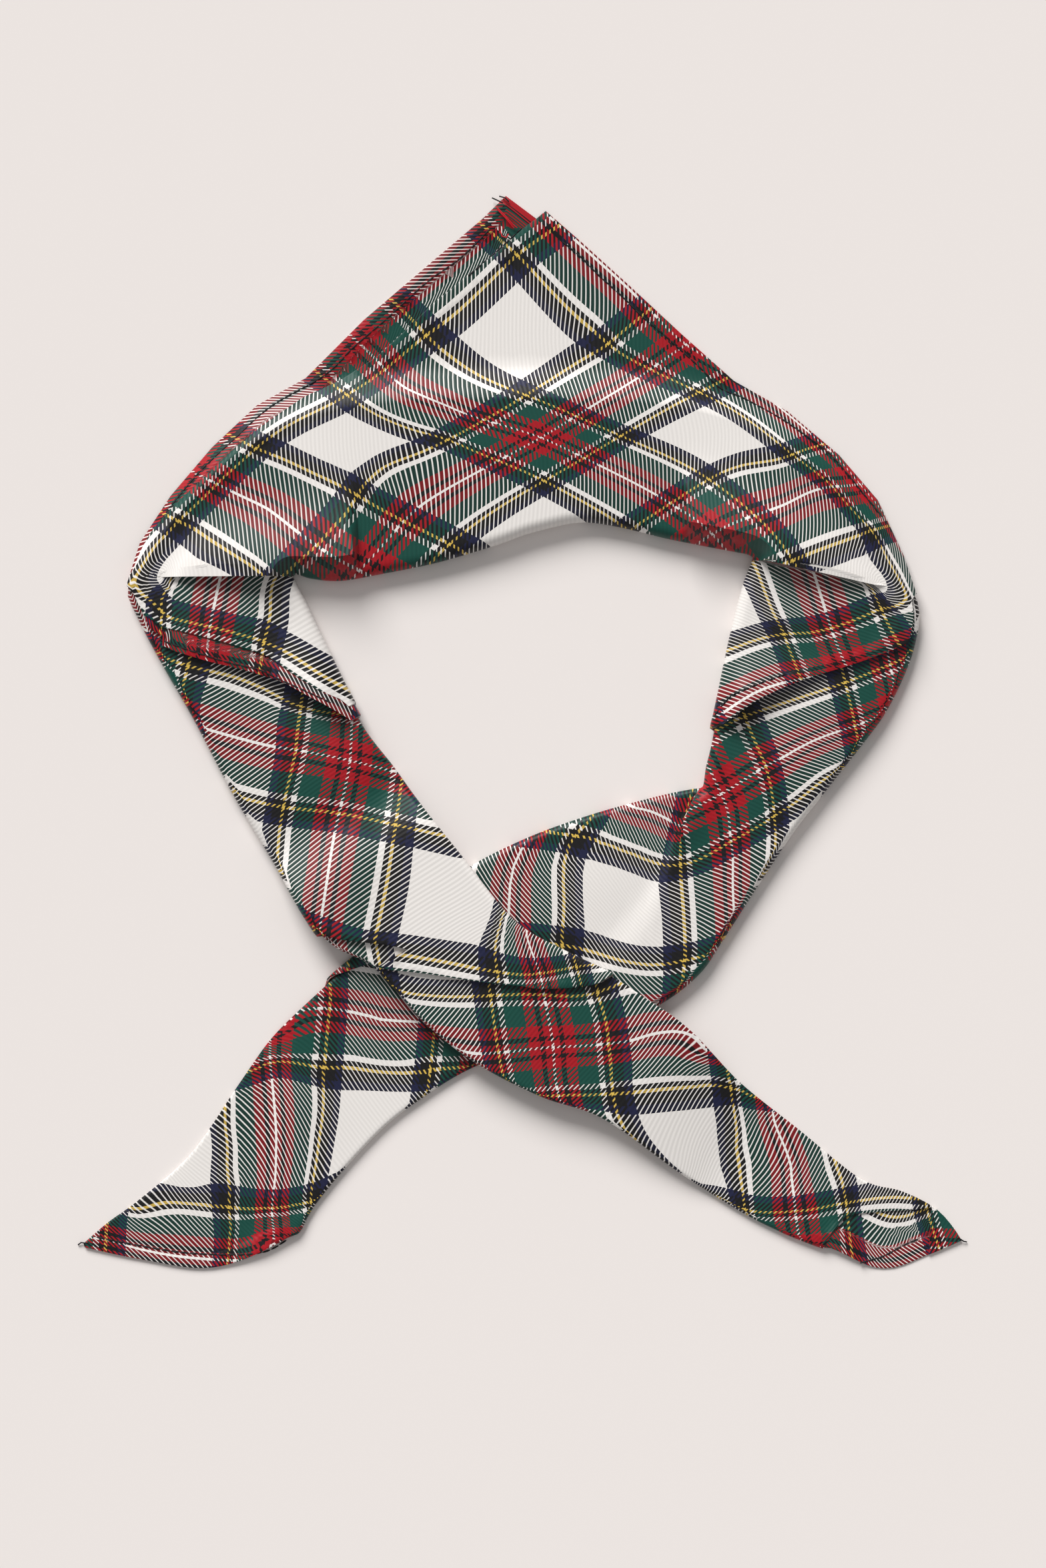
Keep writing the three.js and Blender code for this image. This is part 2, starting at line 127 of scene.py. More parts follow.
rightStrand = [
    {"reach": 5, "inner": (70.5, 47.9), "outer": (125.9, 28.2)},
    {"reach": 4.75, "inner": (67.9, 38.1), "outer": (121.4, 16.1)},
    {"reach": 4.5, "inner": (65.4, 27.4), "outer": (116.1, 6.0)},
    {"reach": 4.25, "inner": (62.6, 13.9), "outer": (110.5, -1.7)},
    {"reach": 4, "inner": (59.8, 0.4), "outer": (103.9, -10.1)},
    {"reach": 3.8, "inner": (58.5, -8.6), "outer": (96.2, -19.9)},
    {"reach": 3.6, "inner": (57.9, -15.4), "outer": (86.1, -33.6), "bow": (69.0, -30.0)},
    {"reach": 3.5, "inner": (57.2, -17.1), "outer": (65.4, -66.8), "bow": (50.8, -40.7)},
    {"reach": 3.4, "inner": (54.0, -17.8), "outer": (56.2, -78.8), "bow": (47.6, -44.9)},
    {"reach": 3.2, "inner": (42.3, -20.3), "outer": (41.2, -88.8), "bow": (39.1, -52.4)},
    {"reach": 3, "inner": (20.9, -26.1), "outer": (18.7, -96.7)},
    {"reach": 2.7, "inner": (0.1, -33.8), "outer": (1.6, -101.6)},
    {"reach": 2.4, "inner": (-19.8, -44.3), "outer": (-10.2, -104.9)},
    {"reach": 2.2, "inner": (-43.3, -62.5), "outer": (-19.8, -109.1)},
    {"reach": 2, "inner": (-64.7, -80.2), "outer": (-30.5, -115.8)},
    {"reach": 1.7, "inner": (-78.6, -95.7), "outer": (-43.3, -125.4)},
    {"reach": 1.4, "inner": (-90.4, -112.3), "outer": (-57.0, -139.7)},
    {"reach": 1.15, "inner": (-101.5, -129.0), "outer": (-67.3, -152.4)},
    {"reach": 1, "inner": (-109.7, -138.7), "outer": (-74.4, -162.2)},
    {"reach": 0.66, "inner": (-123.6, -150.4), "outer": (-99.0, -171.0)},
    {"reach": 0.33, "inner": (-132.6, -156.9), "outer": (-122.1, -168.4)},
    {"reach": 0, "inner": (-140.5, -163.7), "outer": (-140.1, -164.6)},
]
partOffset = (-0.2, -0.55)
crossing = {"climbFrom": 1.42, "topFrom": 1.76, "topTo": 3.2, "climbTo": 3.58}
swells = [
    {"at": (-62, -12), "radius": 17, "gain": 0.3},
    {"at": (-92, 34), "radius": 15, "gain": 0.18},
    {"at": (-70, 74), "radius": 20, "gain": 0.14},
    {"at": (0, 84), "radius": 26, "gain": 0.12},
    {"at": (78, 74), "radius": 20, "gain": 0.14},
    {"at": (96, 6), "radius": 15, "gain": 0.18},
    {"at": (80, -14), "radius": 12, "gain": 0.22},
    {"at": (26, -46), "radius": 18, "gain": 0.3},
    {"at": (-74, -118), "radius": 14, "gain": 0.35},
    {"at": (-112, -156), "radius": 11, "gain": 0.5},
    {"at": (96, -148), "radius": 12, "gain": 0.4},
]

# Where one ply ends short of the other, read from the photo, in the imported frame
hemLines = {
    "crownTop": [
        (7.4, 167.2), (4.4, 164.6), (0.6, 162), (-2.9, 158.7), (-8.7, 153.4), (-12, 151), (-15.7, 148.3),
        (-18.5, 145.8), (-21.3, 143.4), (-26.7, 139.1), (-30.3, 136), (-36.3, 130), (-46.5, 120.6), (-58.3, 112.9),
        (-70.5, 107.1), (-83.3, 97.9), (-91, 91.7), (-101.5, 81.8), (-112, 72), (-118.9, 64.3), (-121.9, 58.7),
        (-124.5, 52)],
    "crownUnder": [
        (-5.4, 172), (4.1, 164.9), (20, 149.5), (40, 131.5), (60, 113.5), (80, 98.5), (100, 83), (114, 67.5),
        (119.5, 55), (123, 42)],
    "neckLeftTop": [
        (-128, 47), (-126, 41), (-123.3, 37), (-119.3, 34.1), (-107.9, 32), (-93.2, 28.1), (-81.6, 24.3),
        (-73.5, 18.7), (-65.4, 13.4), (-58.3, 10.6), (-51.7, 4.6), (-46, -1)],
    "neckLeftUnder": [
        (-124.5, 34.5), (-119.3, 29.6), (-111.8, 26), (-100.7, 22.6), (-88.7, 19.8), (-76.7, 16.1), (-70.7, 12.7),
        (-62.6, 8.4), (-57, 5.2), (-50.7, 0.7), (-46, -4)],
    "crossTop": [
        (-70, -66), (-62, -70.5), (-56.4, -72.2), (-46.8, -74.9), (-41.4, -76), (-33.3, -76.7), (-26, -77.8),
        (-17.9, -79.1), (-8, -80.4), (-0.5, -81), (5, -82.1), (18, -81.5), (30.3, -79.3), (36, -77)],
    "mouth": [
        (106.6, -177), (106.7, -169), (103, -161.3), (101.2, -156.8), (104.5, -154.6), (111, -154), (117.4, -153.5),
        (124.9, -153.1), (130.9, -152.3), (137, -155.5), (140.7, -162)],
}

# The apex of the top ply: left of it the under ply runs on to the cloth's own edge
apexX = 4.2

# Places where a free hem stands up off the layer below
puffs = [
    {"at": (64, 4), "radius": 13, "high": 4.4, "layers": (4,)},
    {"at": (80, 11), "radius": 13, "high": 1.6, "layers": (4,)},
    {"at": (-60, 8), "radius": 13, "high": 4.2, "layers": (4,)},
    {"at": (-76, 15), "radius": 12, "high": 2.0, "layers": (4,)},
    {"at": (-100, 24), "radius": 12, "high": 0.8, "layers": (4,)},
]


def lerp(a, b, t):
    return a + (b - a) * t


def mix(p, q, t):
    return (lerp(p[0], q[0], t), lerp(p[1], q[1], t))


def ease(t):
    c = min(1.0, max(0.0, t))
    return c * c * (3 - 2 * c)


def ramp(t, start, end):
    return ease((t - start) / (end - start))


def curve(a, b, c, d, t):
    m0 = (c - a) / 2
    m1 = (d - b) / 2
    t2 = t * t
    t3 = t2 * t
    return (2 * t3 - 3 * t2 + 1) * b + (t3 - 2 * t2 + t) * m0 + (3 * t2 - 2 * t3) * c + (t3 - t2) * m1


def curvePoint(points, i, t):
    a = points[max(0, i - 1)]
    d = points[min(len(points) - 1, i + 2)]
    b, c = points[i], points[i + 1]
    return (curve(a[0], b[0], c[0], d[0], t), curve(a[1], b[1], c[1], d[1], t))


def apart(p, q):
    return math.hypot(p[0] - q[0], p[1] - q[1])


def station(row, side):
    place = {key: (row[key][0] + partOffset[0], row[key][1] + partOffset[1]) for key in row if key != "reach"}
    middle = mix(place["inner"], place["outer"], 0.5)
    return {
        "side": side,
        "reach": row.get("reach", 5),
        "inner": place["inner"],
        "outer": place["outer"],
        "bow": place.get("bow", middle),
        "hem": place.get("hem", place["outer"]),
        "flap": "hem" in row,
    }


tableStations = [station(row, "left") for row in leftStrand]
tableStations += [station(row, "top") for row in topBand]
tableStations += [station(row, "right") for row in rightStrand]
strandEnd = len(leftStrand)
bandEnd = strandEnd + len(topBand) - 1

# Tucks where the cloth folds over itself: the upper part's edge is the crease, the rest lies under it
tucks = {
    strandEnd: {
        "layer": 4, "upper": 1, "end": 0.83, "depth": 7.0, "lift": 7.0, "reachOut": 26.0, "bow": (0.0, 4.0),
        "panels": ("topSheet", "bendLeft"),
    },
    bandEnd: {
        "layer": 4, "upper": -1, "end": 0.83, "depth": 7.0, "lift": 7.0, "reachOut": 26.0, "bow": (0.0, 2.6),
        "panels": ("topSheet", "bendRight"),
    },
    bandEnd + 8: {
        "layer": 2, "upper": -1, "end": 0.42, "depth": 5.0, "lift": 2.6, "reachOut": 12.0, "bow": (0.0, 0.0),
        "panels": ("armRight", "foldRight"),
    },
}
# Lengths in mm, zones as shares of the width, near and panelNear in rows
tuckForm = {
    "rows": 9,
    "margin": 1.2,
    "lip": 0.3,
    "shut": 0.1,
    "endZone": 0.06,
    "depthZone": 0.05,
    "depthPower": 0.7,
    "liftZone": 0.1,
    "liftStart": 0.3,
    "liftPower": 0.6,
    "sheetGap": 0.45,
    "floorGap": 0.05,
    "fadeFrom": 0.75,
    "near": 40,
    "panelNear": 60,
    "panelBlend": 8.0,
    "panelStart": 0.12,
    "panelFade": 0.14,
}
# Reach that the hem runs past its table value, millimetres of a flap step, and steps to a fold
pathForm = {"past": 0.3, "flapStep": 3.5, "foldSteps": 6}
# Turned-up hem: where its edge rounds, how soft its inner side is, and how high the edge itself stands
rimForm = {"round": 0.35, "soft": 0.25, "edge": 0.05, "edgeHigh": 0.3}


def between(i, t):
    a, b = tableStations[i], tableStations[i + 1]
    row = {"side": a["side"] if t < 0.5 else b["side"], "reach": lerp(a["reach"], b["reach"], t)}
    for key in ("inner", "outer", "bow"):
        row[key] = curvePoint([s[key] for s in tableStations], i, t)
    row["hem"] = mix(a["hem"], b["hem"], t)
    row["flap"] = a["flap"] and b["flap"]
    return row


def allStations():
    rows = []
    for i in range(len(tableStations) - 1):
        a, b = tableStations[i], tableStations[i + 1]
        far = max(apart(a["inner"], b["inner"]), apart(a["outer"], b["outer"]), apart(a["hem"], b["hem"]))
        count = max(1, round(far / sizes["rowStep"]))
        turns = []
        if a["reach"] != b["reach"]:
            for fold in (1, 2, 3, 4):
                for value in (fold, fold + sizes["turn"] / 2, fold + sizes["turn"]):
                    turns.append((value - a["reach"]) / (b["reach"] - a["reach"]))
        turns = [t for t in turns if 0 < t < 1]
        stops = [k / count for k in range(count)]
        stops = [t for t in stops if t == 0 or all(abs(u - t) > 0.03 for u in turns)]
        for t in sorted(stops + turns):
            row = between(i, t)
            tuck = tucks.get(i) if t == 0 else None
            if tuck is None:
                rows.append(row)
                continue
            row["bow"] = (row["bow"][0] + tuck["bow"][0], row["bow"][1] + tuck["bow"][1])
            order = range(tuckForm["rows"])
            if tuck["upper"] > 0:
                order = reversed(order)
            for k in order:
                rows.append({**row, "tuck": tuck, "step": k})
    rows.append(between(len(tableStations) - 2, 1.0))
    return rows


def hemShare(reach, fold):
    return 1 - (reach - fold - sizes["turn"]) / (1 - sizes["turn"])


def cover(share, reach, fold):
    return ease((share - hemShare(reach, fold) + sizes["rampAhead"]) / sizes["ramp"] + 1)


def insets(reach):
    edge = sizes["sheet"] / 2
    pitch = sizes["pitch"]
    first = (0.5 * pitch + edge) * ramp(reach, 0.7, 1)
    inner = (pitch + edge) * ramp(reach, 1.6, 2) + pitch * ramp(reach, 3.6, 4)
    return inner, first + pitch * ramp(reach, 2.6, 3)


def crossLift(row):
    if row["side"] != "left":
        return 0.0
    up = ramp(row["reach"], crossing["climbFrom"], crossing["topFrom"])
    return sizes["crossRise"] * up * (1 - ramp(row["reach"], crossing["topTo"], crossing["climbTo"]))


def swell(x, y):
    gain = 0.0
    for s in swells:
        d = math.hypot(x - s["at"][0], y - s["at"][1]) / s["radius"]
        gain += s["gain"] * math.exp(-d * d)
    return 1 + gain


def puff(layer, x, y):
    high = 0.0
    for entry in puffs:
        if layer in entry["layers"]:
            d = math.hypot(x - entry["at"][0], y - entry["at"][1]) / entry["radius"]
            high += entry["high"] * math.exp(-d * d)
    return high


def widthPoint(row, g):
    middle = mix(row["inner"], row["outer"], 0.5)
    p = mix(row["inner"], row["outer"], g)
    bulge = 4 * g * (1 - g)
    return (p[0] + bulge * (row["bow"][0] - middle[0]), p[1] + bulge * (row["bow"][1] - middle[1]))


def levels(share, reach):
    one = cover(share, reach, 1)
    two = cover(share, reach, 3)
    base = sizes["sheet"] / 2
    pitch = sizes["pitch"]
    heights = (one + two, two, 1 + one + two, 0, 2 + one + two)
    return [base + pitch * h for h in heights]


def shareStops(reach, layer):
    count = 4 if layer % 2 else 12
    marks = {k / count for k in range(count + 1)}
    if layer % 2 == 0:
        marks.update((0.021, 0.979))
    for fold in (1, 3):
        hem = hemShare(reach, fold)
        for back in (0, 0.25, 0.5, 0.75, 1):
            marks.add(hem - sizes["rampAhead"] - sizes["ramp"] * back)
    stops = []
    for mark in sorted(m for m in marks if 0 <= m <= 1):
        if stops and mark - stops[-1] < 0.02 and mark < 1:
            continue
        stops.append(mark)
    return stops


# The middle of the cloth from its core to its hem, for one station
def pathOf(row):
    reach = row["reach"]
    if reach > 4:
        reach = min(5.0, reach + pathForm["past"])
    elif row["side"] == "left" and reach > 2:
        reach = max(reach, min(3.0, reach + pathForm["past"]))
    inset = insets(row["reach"])
    width = max(apart(row["inner"], row["outer"]), 1e-3)
    start, end = inset[0] / width, 1 - inset[1] / width
    lift = crossLift(row)
    path = []

    def add(key, layer, share, p, z, normal):
        height = (z + lift) * swell(p[0], p[1])
        path.append({"key": key, "layer": layer, "share": share, "at": Vector((p[0], p[1], height)), "n": normal})

    for layer in range(5):
        first = 0 if layer == 0 else layer + sizes["turn"]
        if reach < first:
            break
        front = layer % 2 == 0
        last = min(reach, layer + 1)
        done = 1 if layer == 0 else (last - first) / (1 - sizes["turn"])
        stops = shareStops(row["reach"], layer)
        if not front:
            stops = sorted(1 - s for s in stops)
        for s in [s for s in stops if s < done - 0.01] + [done]:
            share = s if front else 1 - s
            z = levels(share, row["reach"])[layer]
            key = first + s * (layer + 1 - first)
            add(key, layer, share, widthPoint(row, lerp(start, end, share)), z, Vector((0, 0, 1 if front else -1)))
        fold = layer + 1
        if reach <= fold or fold > 4:
            continue
        atOuter = fold % 2 == 1
        edge = 1 if atOuter else 0
        z = levels(edge, row["reach"])
        centre = widthPoint(row, end if atOuter else start)
        ahead = widthPoint(row, edge)
        run = max(apart(centre, ahead), 1e-6)
        away = ((ahead[0] - centre[0]) / run, (ahead[1] - centre[1]) / run)
        middle, radius = (z[layer] + z[layer + 1]) / 2, (z[layer] - z[layer + 1]) / 2
        turn = math.pi * min(1, (reach - fold) / sizes["turn"])
        steps = pathForm["foldSteps"]
        for k in range(1, steps + 1):
            whole = k * math.pi / steps
            angle = min(whole, turn)
            if k == steps and turn > math.pi - 1e-6:
                break
            s, c = math.sin(angle), math.cos(angle)
            p = (centre[0] + away[0] * s * abs(radius), centre[1] + away[1] * s * abs(radius))
            normal = Vector((away[0] * s, away[1] * s, c * math.copysign(1, radius)))
            add(fold + sizes["turn"] * angle / math.pi, fold, edge, p, middle + c * radius, normal)
            if whole > turn - 1e-6:
                break
    if row["flap"]:
        edge = widthPoint(row, end)
        top = levels(1, row["reach"])[4]
        span = apart(edge, row["hem"])
        drop = (top - sizes["sheet"] / 2) / sizes["flapSlope"]
        count = max(2, round(span / pathForm["flapStep"]))
        for k in range(1, count + 1):
            s = k / count
            z = lerp(top, sizes["sheet"] / 2, ease(s * span / drop))
            add(5 + s, 5, 1 + s, mix(edge, row["hem"], s), z, Vector((0, 0, 1)))
    return path


def crossKey(path, line, layers):
    for a, b in zip(path, path[1:]):
        if b["layer"] not in layers or a["layer"] not in layers:
            continue
        p, r = a["at"], b["at"] - a["at"]
        for c, d in zip(line, line[1:]):
            s = (d[0] - c[0], d[1] - c[1])
            under = r.x * s[1] - r.y * s[0]
            if abs(under) < 1e-9:
                continue
            t = ((c[0] - p.x) * s[1] - (c[1] - p.y) * s[0]) / under
            u = ((c[0] - p.x) * r.y - (c[1] - p.y) * r.x) / under
            if 0 <= t < 1 and 0 <= u < 1:
                return lerp(a["key"], b["key"], t)
    return None


def atKey(path, key):
    for a, b in zip(path, path[1:]):
        if key <= b["key"]:
            t = (key - a["key"]) / (b["key"] - a["key"])
            return {
                "key": key,
                "layer": b["layer"],
                "share": lerp(a["share"], b["share"], t),
                "at": a["at"].lerp(b["at"], t),
                "n": a["n"].lerp(b["n"], t).normalized(),
            }
    return path[-1]


# One ply of a station's path, cut at its hem, with the turned-up rim's two edges marked
def plyPoints(path, endKey, rimWidth):
    last = atKey(path, endKey)
    kept = [p for p in path if p["key"] < endKey - 1e-4] + [last]
    run = [0.0]
    for a, b in zip(reversed(kept), reversed(kept[:-1])):
        run.append(run[-1] + (a["at"] - b["at"]).length)
    run.reverse()
    soft = rimForm["soft"]
    marks = [m for m in (rimForm["round"], rimWidth - soft, rimWidth + soft) if m < run[0]]
    points = []
    for i, point in enumerate(kept):
        if i:
            for m in sorted((m for m in marks if run[i] < m < run[i - 1]), reverse=True):
                t = (run[i - 1] - m) / (run[i - 1] - run[i])
                extra = atKey(path, lerp(kept[i - 1]["key"], point["key"], t))
                points.append({**extra, "toHem": m})
        points.append({**point, "toHem": run[i]})
    clear = [points[0]]
    for a in points[1:-1]:
        if a["key"] - clear[-1]["key"] > 2e-4:
            clear.append(a)
    if len(points) > 1:
        clear.append(points[-1])
    return clear


def tuckDepth(tuck, share):
    fall = max(0.0, 1 - share / tuck["end"]) ** tuckForm["depthPower"]
    return tuck["depth"] * fall * min(1.0, share / tuckForm["depthZone"])


def tuckLift(tuck, share):
    fall = max(0.0, 1 - share / tuck["end"]) ** tuckForm["liftPower"]
    return tuck["lift"] * fall * min(1.0, tuckForm["liftStart"] + share / tuckForm["liftZone"])


# Where a row of a tuck lies: forward of the crease and up, for a share of the width
def tuckPlace(tuck, step, share, folded):
    margin, lip, low = tuckForm["margin"], tuckForm["lip"], tuckForm["floorGap"]
    shut, zone = tuckForm["shut"], tuckForm["endZone"]
    spread = max(shut, min(1.0, shut + share / zone, shut + (1 - share) / zone))
    plain = lerp(margin, -margin, step / (tuckForm["rows"] - 1)) * spread
    if not folded or share >= tuck["end"]:
        return plain, 0.0
    d, up = tuckDepth(tuck, share), tuckLift(tuck, share)
    under = max(up - tuckForm["sheetGap"], up / 2)
    deep = max(up * (1 - ease((d - margin) / tuck["reachOut"])) * 0.7 - 0.5, low)
    forward = (margin, lip, 0, lip, d, d + lip, d, 0.4, -margin)[step] * spread
    height = (up, up, up - 0.1, under, deep, deep / 2, low, 0, 0)[step]
    fade = ease((share / tuck["end"] - tuckForm["fadeFrom"]) / (1 - tuckForm["fadeFrom"]))
    return lerp(forward, plain, fade), height * (1 - fade)


panelOf = {"left": {4: "bendLeft", 2: "armLeft", 0: "tailLeft"}, "right": {4: "bendRight", 0: "tailRight"}}


def panelAt(row, layer):
    front = layer - layer % 2
    if row["side"] == "top" and front >= 4:
        return "topSheet"
    if row["side"] == "top":
        arms = {2: "armLeft", 0: "tailLeft"} if row["inner"][0] < 0 else {2: "armRight", 0: "tailRight"}
        return arms[front]
    if row["side"] == "right" and front == 2:
        return "armRight" if row["reach"] > 3.5 else "foldRight"
    return panelOf[row["side"]][min(front, 4)]


stationRows = allStations()
tuckPlaces = [i for i, row in enumerate(stationRows) if "tuck" in row]


def normalOf(row, toward):
    dx, dy = row["outer"][0] - row["inner"][0], row["outer"][1] - row["inner"][1]
    size = math.hypot(dx, dy)
    normal = (-dy / size, dx / size)
    middle = mix(row["inner"], row["outer"], 0.5)
    ahead = (toward[0] - middle[0], toward[1] - middle[1])
    if normal[0] * ahead[0] + normal[1] * ahead[1] < 0:
        return (-normal[0], -normal[1])
    return normal


def rowMiddle(row):
    return mix(row["inner"], row["outer"], 0.5)


creases = []
for first in tuckPlaces[::tuckForm["rows"]]:
    row = stationRows[first]
    tuck = row["tuck"]
    beyond = stationRows[first + tuckForm["rows"] + 1 if tuck["upper"] > 0 else first - 2]
    tuck["normal"] = normalOf(row, rowMiddle(beyond))
    tuck["row"] = {key: row[key] for key in ("inner", "outer", "bow")}
    tuck["from"] = first
    creases.append(tuck)


# Forward distance of a place from a tuck's crease, positive on the upper part's side
def forwardOf(tuck, share, at):
    p = widthPoint(tuck["row"], share)
    return (at.x - p[0]) * tuck["normal"][0] + (at.y - p[1]) * tuck["normal"][1]


# How far the cloth rises at a tuck's upper part, for a row beside it
def creaseLift(index, layer, share, at):
    lift = 0.0
    for tuck in creases:
        if tuck["layer"] != min(layer, 4) or abs(index - tuck["from"]) > tuckForm["near"]:
            continue
        side = 1 if index > tuck["from"] else -1
        if side == tuck["upper"] and share < tuck["end"]:
            far = abs(forwardOf(tuck, share, at))
            lift += tuckLift(tuck, share) * (1 - ease((far - tuckForm["margin"]) / tuck["reachOut"]))
    return lift


def plyEnds(row, path):
    whole = path[-1]["key"]
    reach = row["reach"]
    top = whole if row["flap"] or reach < 1 else min(whole, reach)
    under = top
    if row["flap"]:
        top = crossKey(path, hemLines["crownTop"], (4, 5)) or whole
        under = whole
        if row["hem"][0] >= apexX:
            under = crossKey(path, hemLines["crownUnder"], (5,)) or whole
    elif row["side"] == "left" and reach > 4:
        top = crossKey(path, hemLines["neckLeftTop"], (4, 5)) or top
        under = crossKey(path, hemLines["neckLeftUnder"], (4, 5)) or min(whole, top + 0.12)
    elif row["side"] == "left" and 2 < reach < 3:
        top = crossKey(path, hemLines["crossTop"], (2,)) or top
        under = top
    elif row["side"] == "left" and reach < 1.02:
        top = crossKey(path, hemLines["mouth"], (0,)) or top
    return top, under


def rimLift(toHem, rim, high):
    if toHem < rimForm["edge"]:
        return high * rimForm["edgeHigh"]
    return high if toHem < rim else 0.0


plyTop = sizes["plyGap"] / 2 + sizes["ply"]
plyIn = sizes["plyGap"] / 2
vertices = []
faces = []
paint = []
underEdge = []


# The plies meet in a half turn round the cloth's core
def coreTurn(row, path, info):
    core, after = path[0]["at"], path[min(1, len(path) - 1)]["at"]
    away = Vector((core.x - after.x, core.y - after.y, 0))
    if away.length < 1e-6:
        away = Vector((row["inner"][0] - row["outer"][0], row["inner"][1] - row["outer"][1], 0))
    away.normalize()
    turned = []
    for k in range(1, 5):
        angle = k * math.pi / 5
        way = away * math.sin(angle) + Vector((0, 0, math.cos(angle)))
        turned.append(((k - 2.5) * 1e-4, core + way * plyTop, core + way * plyIn, "core", dict(info)))
    return turned


def plyColumns(index, row, path, name, endKey, rim):
    tuck = row.get("tuck")
    columns = []
    for point in plyPoints(path, endKey, rim):
        at, n = point["at"].copy(), point["n"]
        share, layer, toHem = point["share"], point["layer"], point["toHem"]
        front = layer % 2 == 0 and n.z > 0.99
        if tuck:
            folded = name == "top" and layer == tuck["layer"] and front
            forward, up = tuckPlace(tuck, row["step"], share, folded)
            at.x += tuck["normal"][0] * forward
            at.y += tuck["normal"][1] * forward
            at.z += up
        elif name == "top" and front:
            at.z += creaseLift(index, layer, share, at)
        if front:
            at.z += puff(layer, at.x, at.y) * (min(1.0, share * 12) if layer == 4 else 1.0)
        if name == "top":
            high = rimLift(toHem, rim, sizes["hemRise"])
            key, outPoint, innPoint = -point["key"], at + n * (plyTop + high), at + n * plyIn
        else:
            high = rimLift(toHem, rim, sizes["stripRise"]) if endKey < 5.999 or row["flap"] else 0
            key, outPoint, innPoint = point["key"], at - n * plyTop, at - n * (plyIn - high)
        info = {"row": index, "share": share, "layer": layer, "plan": (at.x, at.y), "toHem": toHem}
        columns.append((key, outPoint, innPoint, name, info))
    return columns


def buildRow(index, row):
    path = pathOf(row)
    topEnd, underEnd = plyEnds(row, path)
    top = plyColumns(index, row, path, "top", topEnd, sizes["hem"])
    top.reverse()
    under = plyColumns(index, row, path, "under", underEnd, sizes["strip"])
    keys, starts = [], []
    for key, outPoint, innPoint, name, info in top + coreTurn(row, path, top[-1][4]) + under:
        keys.append(key)
        starts.append(len(vertices))
        vertices.extend((outPoint, innPoint))
        paint.extend(((name, "out", info), (name, "inn", info)))
    underEdge.append(starts[-1])
    return keys, starts


def joinRows(one, two):
    keysA, a = one
    keysB, b = two
    i = j = 0
    while i + 1 < len(a) or j + 1 < len(b):
        nextA = keysA[i + 1] if i + 1 < len(a) else math.inf
        nextB = keysB[j + 1] if j + 1 < len(b) else math.inf
        if nextA <= nextB:
            faces.append((a[i], b[j], a[i + 1]))
            faces.append((a[i] + 1, a[i + 1] + 1, b[j] + 1))
            i += 1
        else:
            faces.append((a[i], b[j], b[j + 1]))
            faces.append((a[i] + 1, b[j + 1] + 1, b[j] + 1))
            j += 1
    for x, y, flip in ((a[0], b[0], False), (a[-1], b[-1], True)):
        quad = (x, x + 1, y + 1, y)
        faces.append(tuple(reversed(quad)) if flip else quad)


def capRow(row, flip):
    _, a = row
    for i in range(len(a) - 1):
        quad = (a[i], a[i + 1], a[i + 1] + 1, a[i] + 1)
        faces.append(tuple(reversed(quad)) if flip else quad)


previous = None
for index, row in enumerate(stationRows):
    built = buildRow(index, row)
    if previous is None:
        capRow(built, False)
    else:
        joinRows(previous, built)
    previous = built
capRow(previous, True)
stage("cloth surface, %d rows" % len(stationRows))

